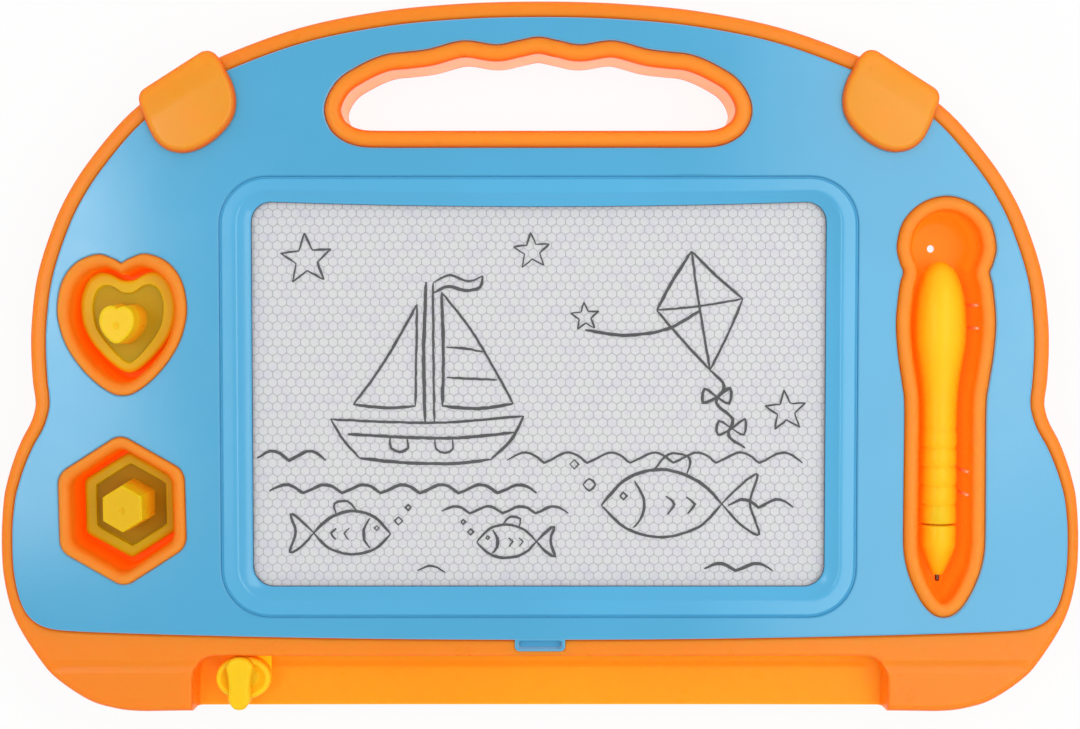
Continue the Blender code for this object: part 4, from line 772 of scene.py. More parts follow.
def even_normals(piece: Piece) -> None:
    """Lets the large faces of a piece keep their own direction beside its small roundings.

    Args:
        piece: The piece.
    """
    activate(piece)
    step = piece.modifiers.new("even", "WEIGHTED_NORMAL")
    step.keep_sharp = True
    bpy.ops.object.modifier_apply(modifier=step.name)


def dress(piece: Piece, finish: str, slot: str, *nodes: str, body: str = "board", shade: bool = True) -> Piece:
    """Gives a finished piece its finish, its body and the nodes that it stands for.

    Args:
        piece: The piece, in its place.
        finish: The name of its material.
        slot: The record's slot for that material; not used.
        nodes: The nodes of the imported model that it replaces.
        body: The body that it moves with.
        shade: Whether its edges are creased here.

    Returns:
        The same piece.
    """
    if shade:
        crisp(piece)
    piece.data.materials.clear()
    piece.data.materials.append(MADE[finish])
    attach(piece, body)
    if nodes:
        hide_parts(*nodes)
    LOG.info("%s: %d faces on %s", piece.name, len(piece.data.polygons), body)
    return piece


def repaint(piece: Piece, finish: str, chosen: Callable[[bpy.types.MeshPolygon], bool]) -> None:
    """Gives some faces of a dressed piece another finish.

    Args:
        piece: The piece.
        finish: The name of the other material.
        chosen: Tells whether a face gets it.
    """
    piece.data.materials.append(MADE[finish])
    for face in piece.data.polygons:
        if chosen(face):
            face.material_index = len(piece.data.materials) - 1


# Finishes


class Nodes:
    """Builds the node tree of one material or world."""

    def __init__(self, holder: bpy.types.Material | bpy.types.World, shader: str = "Principled BSDF") -> None:
        """Starts the tree of a new material or world and takes its main shader.

        Args:
            holder: The material or world.
            shader: The name of its main shader.
        """
        holder.use_nodes = True
        self.holder = holder
        self.tree = holder.node_tree
        self.shader = self.tree.nodes[shader]

    def put(self, entry: Socket, value: object) -> None:
        """Sets an input, or links it if the value is a socket.

        Args:
            entry: The input.
            value: Its value, or the socket that it is linked to.
        """
        if isinstance(value, Socket):
            self.tree.links.new(value, entry)
        else:
            entry.default_value = value

    def add(self, kind: str, **values: object) -> bpy.types.Node:
        """Adds a node and sets some of its inputs."""
        return self.fill(self.tree.nodes.new(kind), **values)

    def fill(self, node: bpy.types.Node, **values: object) -> bpy.types.Node:
        """Sets inputs of a node or links sockets to them.

        Args:
            node: The node.
            values: A value or a socket for each input, under its label with underscores.

        Returns:
            The same node.
        """
        for label, value in values.items():
            self.put(node.inputs[label.replace("_", " ")], value)
        return node

    def work_out(self, operation: str, *values: float | Socket) -> Socket:
        """Works out a value from one or two values or sockets.

        Args:
            operation: The sum's name in Blender.
            values: The values that go into it.

        Returns:
            The result.
        """
        node = self.add("ShaderNodeMath")
        node.operation = operation
        for entry, value in zip(node.inputs, values):
            self.put(entry, value)
        return node.outputs[0]

    def mapped(self, value: Socket, **ends: float) -> Socket:
        """Maps a value from one range to another."""
        return self.add("ShaderNodeMapRange", Value=value, **ends).outputs["Result"]

    def place(self, scale: Place = (1, 1, 1)) -> Socket:
        """Gives the object's own coordinates, stretched by a scale."""
        where = self.add("ShaderNodeTexCoord").outputs["Object"]
        return self.add("ShaderNodeMapping", Vector=where, Scale=scale).outputs["Vector"]

    def noise(self, place: Socket, scale: float, detail: float = 3.0) -> Socket:
        """Gives a noise value with features of about one over the scale in metres."""
        return self.add("ShaderNodeTexNoise", Vector=place, Scale=scale, Detail=detail).outputs["Fac"]

    def ramp(self, value: Socket, stops: list[tuple[float, Colour]]) -> Socket:
        """Turns a value into a colour.

        Args:
            value: The value.
            stops: The colours and the values that they stand at.

        Returns:
            The colour.
        """
        ramp = self.add("ShaderNodeValToRGB", Fac=value)
        marks = ramp.color_ramp.elements
        while len(marks) < len(stops):
            marks.new(0.5)
        for mark, (where, colour) in zip(marks, stops):
            mark.position = where
            mark.color = (*colour, 1.0)
        return ramp.outputs["Color"]

    def tone(self, value: Socket, colour: Colour, low: float, high: float) -> Socket:
        """Lets a colour drift between a darker and a lighter tone."""
        return self.ramp(value, [(0.3, shade_of(colour, low)), (0.7, shade_of(colour, high))])

    def span(self, value: Socket, low: float, high: float) -> Socket:
        """Spreads a noise value over a range."""
        return self.mapped(value, From_Min=0.3, From_Max=0.7, To_Min=low, To_Max=high)

    def upright(self, source: str) -> Socket:
        """Gives the upright part of the object's own coordinates or of its normal."""
        where = self.add("ShaderNodeTexCoord").outputs[source]
        return self.add("ShaderNodeSeparateXYZ", Vector=where).outputs["Z"]

    def lean(self, level: float, upright: float) -> Socket:
        """Gives 0 where the surface lies flat and 1 where it stands, between two heights of its normal."""
        return self.mapped(self.work_out("ABSOLUTE", self.upright("Normal")), From_Min=level, From_Max=upright)

    def depth(self, high: float, low: float, most: float = 1.0) -> Socket:
        """Gives 0 above a height and a chosen value below another one."""
        return self.mapped(self.upright("Object"), From_Min=high, From_Max=low, To_Max=most)

    def over(self, colour: Socket, share: Socket, other: Colour) -> Socket:
        """Lays another colour over one, by a share.

        Args:
            colour: The colour below.
            share: How much of the other one shows.
            other: The other colour.

        Returns:
            The mixed colour.
        """
        mix = self.add("ShaderNodeMix")
        mix.data_type = "RGBA"
        return self.fill(mix, Factor=share, A=colour, B=(*other, 1.0)).outputs["Result"]

    def bump(self, height: Socket, distance: float, **below: Socket) -> Socket:
        """Turns a height into a normal, on top of another one."""
        return self.add("ShaderNodeBump", Strength=1.0, Distance=distance, Height=height, **below).outputs["Normal"]


def shade_of(colour: Colour, factor: float) -> Colour:
    """Gives a lighter or darker tone of a colour."""
    return tuple(min(1.0, max(0.0, part * factor)) for part in colour)


@dataclass(frozen=True)
class Plastic:
    """Moulded plastic: a tone that drifts a little, a fine grain and an uneven shine, with painted light where asked:
    a painted side shade (a painted highlight on the blue plate's edges), a painted shade lower down and a painted glow
    in hollows.
    """

    name: str
    colour: Colour
    roughness: float = 0.3
    drift: float = 0.035
    grain: float = 0.000006
    wave: float = 0.00004
    glow: float = 0.6
    bleed: Colour = (0.006, 0.0012, 0.0003)
    specular: float = 0.5
    # Colour laid on faces that turn away from flat, by how far they lean: painted side shade on orange and yellow
    # parts, a painted highlight on the blue plate's rounded edges.
    edge: Colour | None = None
    painted_side_light_span: Pair = (0.97, 0.45)
    # Painted shade: a deeper colour laid on faces lower down, between the two heights.
    painted_depth_shade: Colour | None = None
    painted_depth_shade_span: Pair = (0.0205, 0.0100)
    # Painted glow: an emission colour whose strength grows below a height, so hollows glow though no lamp is there.
    painted_glow_colour: Colour = (1.0, 0.11, 0.0)
    painted_glow_span: Pair = (0.0210, 0.0130)
    painted_glow: float = 0.0

    def build(self) -> None:
        """Makes the material."""
        nodes = Nodes(new_material(self.name))
        place = nodes.place()
        colour = nodes.tone(nodes.noise(place, 22.0, 2.0), self.colour, 1 - self.drift, 1 + self.drift)
        # Painted side light: the lean of the normal mixes in the side colour.
        if self.edge is not None:
            colour = nodes.over(colour, nodes.lean(*self.painted_side_light_span), self.edge)
        # Painted depth shade: the deeper colour grows below a height.
        if self.painted_depth_shade is not None:
            colour = nodes.over(colour, nodes.depth(*self.painted_depth_shade_span), self.painted_depth_shade)
        swell = nodes.bump(nodes.noise(place, 14.0, 1.0), self.wave)
        nodes.fill(
            nodes.shader,
            Base_Color=colour,
            Roughness=nodes.span(nodes.noise(place, 160.0, 4.0), self.roughness * 0.88, self.roughness * 1.14),
            Normal=nodes.bump(nodes.noise(place, 2400.0, 2.0), self.grain, Normal=swell),
            Subsurface_Weight=self.glow,
            Subsurface_Radius=self.bleed,
            Subsurface_Scale=1.0,
            Specular_IOR_Level=self.specular,
        )
        # Painted glow: emission that grows with depth.
        if self.painted_glow > 0:
            glow = nodes.depth(*self.painted_glow_span, self.painted_glow)
            nodes.fill(nodes.shader, Emission_Strength=glow, Emission_Color=(*self.painted_glow_colour, 1.0))


@dataclass(frozen=True)
class Metal:
    """Plated or bare metal with fine turning marks."""

    name: str
    colour: Colour
    roughness: float

    def build(self) -> None:
        """Makes the material."""
        nodes = Nodes(new_material(self.name))
        place = nodes.place((1, 1, 6))
        marks = nodes.noise(place, 900.0)
        nodes.fill(
            nodes.shader,
            Base_Color=nodes.tone(marks, self.colour, 0.8, 1.15),
            Roughness=nodes.span(nodes.noise(place, 2600.0), self.roughness * 0.75, self.roughness * 1.3),
            Normal=nodes.bump(marks, 0.000008),
            Metallic=1.0,
        )


@dataclass(frozen=True)
class Matte:
    """A dull sheet or block: bonded magnet, paper-white film or cell wall."""

    name: str
    colour: Colour
    roughness: float
    grain_scale: float
    grain: float
    drift: float = 0.06
    tints: tuple[Colour, ...] = ()

    def build(self) -> None:
        """Makes the material."""
        nodes = Nodes(new_material(self.name))
        grain = nodes.noise(nodes.place(), self.grain_scale)
        colour = nodes.tone(grain, self.colour, 1 - self.drift, 1 + self.drift)
        if self.tints:
            colour = nodes.ramp(grain, [(0.36 + 0.14 * i, tint) for i, tint in enumerate(self.tints)])
        normal = nodes.bump(grain, self.grain)
        nodes.fill(nodes.shader, Base_Color=colour, Normal=normal, Roughness=self.roughness)


@dataclass(frozen=True)
class ClearFilm:
    """The thin front sheet: almost clear, with a soft shine."""

    name: str
    haze: float
    roughness: float

    def build(self) -> None:
        """Makes the material."""
        nodes = Nodes(new_material(self.name))
        place = nodes.place()
        haze = nodes.noise(place, 60.0, 2.0)
        nodes.fill(
            nodes.shader,
            Base_Color=nodes.ramp(haze, [(0.3, (0.80, 0.81, 0.83)), (0.7, (0.84, 0.85, 0.87))]),
            Alpha=nodes.span(haze, self.haze * 0.9, self.haze * 1.1),
            Normal=nodes.bump(nodes.noise(place, 18.0, 1.0), 0.00003),
            Roughness=self.roughness,
        )


# The orange and yellow finishes lay a painted side shade, a deeper colour, on faces that turn away from flat.
ORANGE = Plastic("orange_moulding", (1.0, 0.262, 0.016), specular=0.2, edge=(1.0, 0.155, 0.006))
# A lighter copy of the orange for the tray, with painted depth shade, painted side shade and a painted glow in its
# hollow.
PAINTED_GLOW_ORANGE = Plastic(
    "orange_cup", (1.0, 0.30, 0.04), specular=0.09, edge=(1.0, 0.20, 0.006), painted_side_light_span=(0.997, 0.55),
    painted_depth_shade=(1.0, 0.27, 0.006), painted_glow_colour=(1.0, 0.225, 0.01), painted_glow=0.41,
)
BLUE = Plastic("blue_moulding", (0.079, 0.412, 0.685), 0.17, wave=0.0001, glow=0.0)
YELLOW = Plastic(
    "yellow_moulding", (0.956, 0.585, 0.014), 0.28, glow=0.5, bleed=(0.005, 0.002, 0.0003), specular=0.11,
    edge=(1.0, 0.51, 0.01),
)
# Darker copies of the yellow for the stamps' feet and dish floors: painted shade.
SHADED_FOOT = Plastic("heart_foot", (0.69, 0.545, 0.010), glow=0.2, bleed=YELLOW.bleed, specular=0.12)
SHADED_DISH = Plastic("heart_dish", (0.485, 0.36, 0.010), 0.34, drift=0.1, glow=0.0, specular=0.09)
MILKY = ((0.655, 0.645, 0.70), (0.69, 0.685, 0.695), (0.675, 0.69, 0.675))
FINISHES = (
    ORANGE,
    # A lighter copy of the orange for the clips, with a stronger painted side shade.
    replace(
        ORANGE, name="orange_clip", colour=(1.0, 0.335, 0.016), specular=0.28, edge=(1.0, 0.15, 0.004),
        painted_side_light_span=(0.995, 0.62),
    ),
    # The recess's faces: a lighter copy of the orange with a painted glow lower down.
    replace(
        ORANGE, name="orange_track", colour=(1.0, 0.36, 0.012), specular=0.12, edge=(1.0, 0.20, 0.008),
        painted_glow_colour=(1.0, 0.15, 0.0), painted_glow=0.17,
    ),
    # The handle ring: painted side shade on its rounded edges.
    replace(ORANGE, name="orange_ring", colour=(1.0, 0.285, 0.02), painted_side_light_span=(0.995, 0.5)),
    PAINTED_GLOW_ORANGE,
    # The pockets: painted depth shade, painted side shade and a painted glow down their walls.
    replace(
        PAINTED_GLOW_ORANGE, name="orange_pocket", colour=(1.0, 0.285, 0.035), edge=(1.0, 0.20, 0.008), painted_side_light_span=(0.997, 0.5),
        painted_depth_shade=(1.0, 0.06, 0.001), painted_depth_shade_span=(0.0190, 0.0095), painted_glow_colour=(1.0, 0.125, 0.0),
    ),
    # Pale copy of the orange for the hole's sleeve: painted light, with a painted glow lower down.
    Plastic("orange_sleeve", (1.0, 0.60, 0.42), 0.4, glow=0.3, specular=0.15, painted_glow_colour=(1.0, 0.25, 0.0), painted_glow=0.28),
    # Pale copy of the orange for the pen clips: painted highlight.
    Plastic("orange_fin", (1.0, 0.48, 0.28), glow=0.3),
    BLUE,
    # The plate: its pale edge colour is a painted highlight on the rounded edges.
    replace(BLUE, name="blue_plate", colour=(0.069, 0.380, 0.632), roughness=0.15, edge=(0.42, 0.60, 0.76)),
    # A darker copy of the blue for the groove beside the screen surround: painted shade.
    replace(BLUE, name="blue_groove", colour=(0.062, 0.340, 0.58), roughness=0.2),
    YELLOW,
    # The eraser arm under the lip: a painted glow.
    replace(YELLOW, name="yellow_arm", specular=0.12, edge=None, painted_glow_colour=(1.0, 0.6, 0.0), painted_glow=0.3),
    # Copies of the yellow for the two stamp knobs, set lighter and darker for how light falls on each: painted light.
    replace(YELLOW, name="heart_knob", colour=(0.86, 0.575, 0.014), specular=0.16, edge=(0.88, 0.62, 0.01)),
    replace(YELLOW, name="hexagon_knob", colour=(0.76, 0.48, 0.009), specular=0.12, edge=(0.84, 0.56, 0.007)),
    # Painted shade: the darker yellow of the stamps' feet and dish floors.
    SHADED_FOOT,
    replace(SHADED_FOOT, name="hexagon_foot", colour=(0.56, 0.43, 0.005), specular=0.1),
    SHADED_DISH,
    replace(SHADED_DISH, name="hexagon_dish", colour=(0.37, 0.205, 0.002), specular=0.07),
    # Painted shadow: the dark strip under the screen surround's lip.
    Matte("window_gasket", (0.05, 0.09, 0.19), 0.5, 700.0, 0.000004),
    ClearFilm("clear_film", 0.05, 0.3),
    Matte("milky_cell", MILKY[1], 0.5, 330.0, 0.000003, tints=MILKY),
    Matte("cell_wall", (0.46, 0.455, 0.49), 0.6, 900.0, 0.000004),
    Matte("back_film", (0.72, 0.73, 0.74), 0.45, 60.0, 0.00001),
    Matte("magnetic_powder", (0.016, 0.016, 0.017), 0.85, 2600.0, 0.00002, 0.35),
    Metal("screw_steel", (0.55, 0.56, 0.58), 0.32),
    Metal("dark_metal", (0.17, 0.11, 0.08), 0.35),
    Matte("bonded_magnet", (0.03, 0.03, 0.035), 0.7, 1800.0, 0.00002, 0.3),
)


# Sub-assemblies


@dataclass(frozen=True)
class Layout:
    """Sizes and heights that several pieces share."""

    half_width: float = 0.131
    half_height: float = 0.08635
    gap: float = 0.0003
    seam: float = 0.00004
    rim_width: float = 0.0030
    upper_rim_growth: float = 0.0010
    plate_bottom: float = 0.0185
    plate_top: float = 0.021
    insert_top: float = 0.0218
    flange_width: float = 0.002
    flange_top: float = 0.0182
    flange_bottom: float = 0.017
    plate_bottom_edge: float = -0.0688
    plate_bottom_bow: float = 0.0027
    plate_corner_softness: float = 0.0034
    recess_half_width: float = 0.0844
    recess_top: float = -0.0728
    recess_bottom: float = -0.08495
    recess_corner: float = 0.005
    recess_face: float = 0.0116
    handle_half: Pair = (0.0519, 0.0134)
    handle_at: Pair = (-0.00044, 0.0641)
    handle_ring: float = 0.0041
    screen_y: float = -0.0094
    bezel_at: Pair = (-0.0003, -0.00976)
    bezel_half: Pair = (0.0772, 0.0534)
    bezel_corner: float = 0.0117
    bezel_taper: float = 0.005
    window_y: float = -0.00913
    window_half: Pair = (0.0698, 0.0469)
    window_corner: float = 0.0051
    window_bow: float = 0.0013
    tray_at: Pair = (0.0983, -0.0122)
    tray_turn: float = -0.5
    tray_half: Pair = (0.0121, 0.0511)
    tether_at: Pair = (0.0974, 0.0264)
    heart_at: Pair = (-0.1013, 0.0077)
    heart_half: Pair = (0.01565, 0.0171)
    heart_turn: float = 0.7
    hexagon_at: Pair = (-0.1013, -0.0374)
    hexagon_half: Pair = (0.0153, 0.01785)
    hexagon_corner: float = 0.0042
    hexagon_turn: float = 1.7
    knob_at: Pair = (-0.0719, -0.0784)
    screw_sink: float = 0.0014
    screw_head_radius: float = 0.00275
    screw_head_height: float = 0.0018
    bore_radius: float = 0.0016
    clip_post_inset: float = 0.0036

    def outline(self) -> Outline:
        """Gives the outer outline of the shells."""
        return mirrored(BOARD_SHARES, self.half_width, self.half_height, 6)

    def plate(self) -> Outline:
        """Gives the edge of the blue plate."""
        edge = []
        board = self.outline()
        wide = grown(board, -self.rim_width - self.upper_rim_growth)
        for low_point, high_point in zip(inward(board, self.rim_width), wide):
            share = min(1.0, max(0.0, (low_point.y + 0.04) / 0.035))
            point = low_point.lerp(high_point, share)
            bottom = self.plate_bottom_edge + self.plate_bottom_bow * (point.x / self.half_width) ** 2
            lift = (point.y - bottom) / self.plate_corner_softness
            softened = math.log1p(math.exp(lift)) if lift < 30 else lift
            edge.append(Vector((point.x, bottom + softened * self.plate_corner_softness)))
        return edge

    def handle(self) -> Outline:
        """Gives the outer edge of the handle ring, in its place."""
        return moved(mirrored(HANDLE_SHARES, *self.handle_half, 8), *self.handle_at)

    def tapered(self, points: Outline) -> Outline:
        """Draws the lower end of the screen surround's outlines in a little."""
        return [Vector((p.x * (1 + self.bezel_taper * p.y / self.bezel_half[1]), p.y)) for p in points]

    def bezel(self) -> Outline:
        """Gives the outer edge of the screen surround, in its place."""
        return moved(self.tapered(rounded_box(*self.bezel_half, self.bezel_corner)), *self.bezel_at)

    def window(self) -> Outline:
        """Gives the edge of the window, in its place."""
        box = rounded_box(*self.window_half, self.window_corner, self.window_bow)
        return moved(self.tapered(box), self.bezel_at[0], self.window_y)

    def tray(self) -> Outline:
        """Gives the outer edge of the pen tray about its own centre, upright."""
        return mirrored(TRAY_SHARES, *self.tray_half, 8)

    def in_tray_place(self, points: Outline) -> Outline:
        """Turns and moves an outline from about the tray's centre to its place."""
        return moved(turned(points, self.tray_turn), *self.tray_at)

    def heart(self) -> Outline:
        """Gives the outer edge of the heart pocket about its own centre."""
        return turned(mirrored(HEART_SHARES, *self.heart_half, 8, corner_top=True), self.heart_turn)

    def hexagon(self) -> Outline:
        """Gives the outer edge of the hexagon pocket about its own centre."""
        return turned(rounded_hexagon(*self.hexagon_half, self.hexagon_corner), self.hexagon_turn)


BOARD = Layout()


@dataclass(frozen=True)
class ClipPlace:
    """Where a corner clip sits, its turn in degrees and how far its face is from there."""

    side: str
    at: Pair
    degrees: float
    shift: Pair

    def outward(self) -> Vector:
        """Gives the direction from the board's middle over its edge."""
        turn = math.radians(self.degrees)
        return Vector((-math.sin(turn), math.cos(turn)))

    def post(self) -> Pair:
        """Gives the place of the clip's screw, inwards of its middle."""
        turn = math.radians(self.degrees)
        inset = BOARD.clip_post_inset
        return self.at[0] + math.sin(turn) * inset, self.at[1] - math.cos(turn) * inset


CLIP_PLACES = (
    ClipPlace("left", (-0.0848, 0.0606), 32, (0.0004, -0.0004)),
    ClipPlace("right", (0.0848, 0.0606), -32, (-0.0008, -0.0002)),
)
SCREW_PLACES: dict[str, Pair] = {
    "upper": (0.462 * BOARD.half_width, 0.828 * BOARD.half_height),
    "waist": (0.8855 * BOARD.half_width, -0.145 * BOARD.half_height),
    "lower": (0.922 * BOARD.half_width, -0.70 * BOARD.half_height),
    "bar": (0.4634 * BOARD.half_width, -0.08065),
}


@dataclass
class Shells:
    """The orange front shell with its rim and bar, and the back cover."""

    body_bottom: float = 0.008
    rim_top: float = 0.0204
    rim_round: float = 0.0016
    seat_round: float = 0.0011
    wall: float = 0.0022
    ledge_top: float = 0.0182
    ledge_bottom: float = 0.0167
    ledge_width: float = 0.0025
    recess_wall: float = 0.002
    lip_round: float = 0.0008
    track_half_height: float = 0.02
    track_corner_gain: float = 0.0006
    track_foot: tuple[Pair, ...] = ((0.0014, 0.0), (0.0009, 0.0002), (0.0005, 0.0006), (0.0002, 0.0013))
    slot_inset: float = 0.001
    slot_lift: float = 0.00002
    slot_roof: float = 0.014
    groove_inset: float = 0.0018
    groove_shift: float = 0.0004
    groove_half: float = 0.0021
    groove_depth: float = 0.00055
    crease_shift: float = 0.0025
    crease_reach: float = 0.1195
    crease_half: float = 0.0017
    crease_depth: float = 0.00028
    channel_shares: tuple[float, ...] = (0.1, 0.3, 0.5, 0.7, 0.85, 1.0)
    recess_faces: tuple[Pair, Pair] = ((-0.0864, -0.0726), (0.0107, 0.0198))
    tab_seat_half: Pair = (0.0062, 0.003)
    tab_seat_corner: float = 0.0012
    tab_seat_y: float = -0.0686
    mark_radius: float = 0.0013
    mark_depth: float = 0.00012
    mark_top: float = 0.0125
    mark_xs: tuple[float, ...] = (-0.0607, 0.0, 0.0607)
    mark_y: float = -0.0809
    cover_height: float = 0.0077
    cover_floor: float = 0.002
    cover_round: float = 0.0019
    cover_wall: float = 0.002
    hole_flare: float = 0.0008
    tether_exit: float = 0.0022
    boss_radius: float = 0.0039
    rib_ys: Pair = (0.0338, -0.0659)
    rib_half_length: float = 0.082
    rib_half: float = 0.00075
    rib_top: float = 0.0116

    def front(self) -> None:
        """Makes the front shell with the slider's recess."""
        outer = BOARD.outline()
        plate = BOARD.plate()
        seat = grown(plate, BOARD.seam)
        ledge = inward(plate, self.ledge_width)
        inner = inward(outer, self.wall)
        rings = [(outer, self.body_bottom), *round_edge(outer, self.rim_round, self.rim_top, 7)]
        rings += round_edge(seat, self.seat_round, self.rim_top, outer=False)[::-1]
        rings += [(seat, self.ledge_top), (ledge, self.ledge_top), (ledge, self.ledge_bottom)]
        rings += [(inner, self.ledge_bottom), (inner, self.body_bottom)]
        shell = ring_shape("front_shell", rings, Closing.LOOPED)
        side = BOARD.recess_half_width + self.recess_wall
        along = (BOARD.recess_bottom - self.recess_wall / 2, BOARD.recess_top + self.recess_wall)
        block = box_shape("recess_block", (-side, side), along, (self.body_bottom, self.ledge_top))
        combine(shell, [block], Cut.ADD)
        combine(shell, [self.track(), self.slot(), *self.channels(), self.tab_seat(), *self.marks()], Cut.REMOVE)
        dress(shell, "orange_moulding", "orange_plastic", "main_body")
        even_normals(shell)
        # The recess's faces get the painted glow.
        repaint(shell, "orange_track", self.in_painted_glow_recess)

    def build(self) -> None:
        """Makes both shells."""
        self.front()
        self.back()

    def in_painted_glow_recess(self, face: bpy.types.MeshPolygon) -> bool:
        """Tells whether a face of the front shell is one of the recess's faces, which get the painted glow.

        Args:
            face: The face.

        Returns:
            True if it is.
        """
        x, y, z = face.center
        (low_y, high_y), (low_z, high_z) = self.recess_faces
        return abs(x) < BOARD.recess_half_width + BOARD.gap and low_y < y < high_y and low_z < z < high_z

    def track(self) -> Piece:
        """Makes the shape of the recess that the knob runs in, with a softened upper edge."""
        half_height, corner = self.track_half_height, BOARD.recess_corner + self.track_corner_gain
        outline = moved(rounded_box(BOARD.recess_half_width, half_height, corner), 0, BOARD.recess_top - half_height)
        rings = [(inward(outline, inset), BOARD.recess_face + rise) for inset, rise in self.track_foot]
        rings += round_edge(outline, self.lip_round, self.rim_top, 4, outer=False)
        return ring_shape("recess_track", [*rings, (rings[-1][0], self.rim_top + OVERRUN)])

    def slot(self) -> Piece:
        """Makes the slot that the eraser's arm runs in."""
        side = BOARD.recess_half_width - self.slot_inset
        along = (BOARD.recess_top - BOARD.recess_corner, BOARD.recess_top + self.recess_wall + OVERRUN)
        return box_shape("recess_slot", (-side, side), along, (BOARD.recess_face + self.slot_lift, self.slot_roof))

    def channels(self) -> list[Piece]:
        """Makes the channel that guides the arm, and the faint one that carries the recess's edge on along the bar."""
        reach = BOARD.recess_half_width - self.groove_inset
        arm_y = BOARD.recess_top - self.groove_shift - self.groove_half
        bar_y = BOARD.recess_top - self.crease_shift
        return [
            self.channel("arm_groove", (reach, self.groove_half), arm_y, BOARD.recess_face, self.groove_depth),
            self.channel("bar_crease", (self.crease_reach, self.crease_half), bar_y, self.rim_top, self.crease_depth),
        ]

    def channel(self, name: str, half: Pair, y: float, face: float, depth: float) -> Piece:
        """Makes the shape of a soft channel that runs along the board.

        Args:
            name: The shape's name.
            half: Half its length and half its width.
            y: The place of its middle.
            face: The height of the face that it is cut in.
            depth: Its depth.

        Returns:
            The shape.
        """
        rings = []
        for share in self.channel_shares:
            drop = depth * (1 + math.cos(math.pi * share)) / 2
            inset = half[1] * (1 - share)
            rings.append((rounded_box(half[0] - inset * 2, half[1] - inset, half[1] - inset - 0.00001), face - drop))
        return ring_shape(name, [*rings, (rings[-1][0], face + BOARD.gap)], at=(0, y))

    def tab_seat(self) -> Piece:
        """Makes the seat of the plate's latch tab."""
        outline = rounded_box(*self.tab_seat_half, self.tab_seat_corner)
        rings = [(outline, self.ledge_top), (outline, self.rim_top + OVERRUN)]
        return ring_shape("tab_seat", rings, at=(0, self.tab_seat_y))

    def marks(self) -> list[Piece]:
        """Makes the faint round moulding marks in the recess."""
        ends = (BOARD.recess_face - self.mark_depth, self.mark_top)
        return [rod_shape(f"mark_{i}", (x, self.mark_y), self.mark_radius, *ends) for i, x in enumerate(self.mark_xs)]

    def back(self) -> None:
        """Makes the back cover with its counterbored screw holes."""
        outer = BOARD.outline()
        inner = inward(outer, self.cover_wall)
        rings = [(ring, -drop) for ring, drop in round_edge(outer, self.cover_round, 0)[::-1]]
        rings += [(outer, self.cover_height), (inner, self.cover_height), (inner, self.cover_floor)]
        cover = ring_shape("back_shell", rings)
        hole = inward(BOARD.handle(), BOARD.handle_ring)
        wide = grown(hole, self.hole_flare)
        rings = [(wide, -OVERRUN), (wide, 0.0), (hole, self.hole_flare), (hole, BOARD.plate_top)]
        floor = self.cover_floor + OVERRUN
        cutters = [ring_shape("cover_hole", rings)]
        cutters.append(rod_shape("tether_exit", BOARD.tether_at, self.tether_exit, -OVERRUN, floor))
        places = [(x * sign, y) for x, y in SCREW_PLACES.values() for sign in (-1, 1)]
        places += [place.post() for place in CLIP_PLACES]
        sink = BOARD.screw_head_radius + BOARD.gap
        seat = BOARD.screw_sink + BOARD.screw_head_height + BOARD.gap
        bosses = []
        for i, at in enumerate(places):
            bosses.append(rod_shape(f"boss_{i}", at, self.boss_radius, self.cover_floor / 2, self.cover_height))
            cutters.append(rod_shape(f"sink_{i}", at, sink, -OVERRUN, seat))
            cutters.append(rod_shape(f"bore_{i}", at, BOARD.bore_radius, 0, self.cover_height + OVERRUN, 16))
        for i, y in enumerate(self.rib_ys):
            spans = (about(0, self.rib_half_length), about(y, self.rib_half), (self.cover_floor / 2, self.rib_top))
            bosses.append(box_shape(f"rib_{i}", *spans))
        combine(cover, bosses, Cut.ADD)
        combine(cover, cutters, Cut.REMOVE)
        dress(cover, "orange_moulding", "orange_plastic", "back_cover")


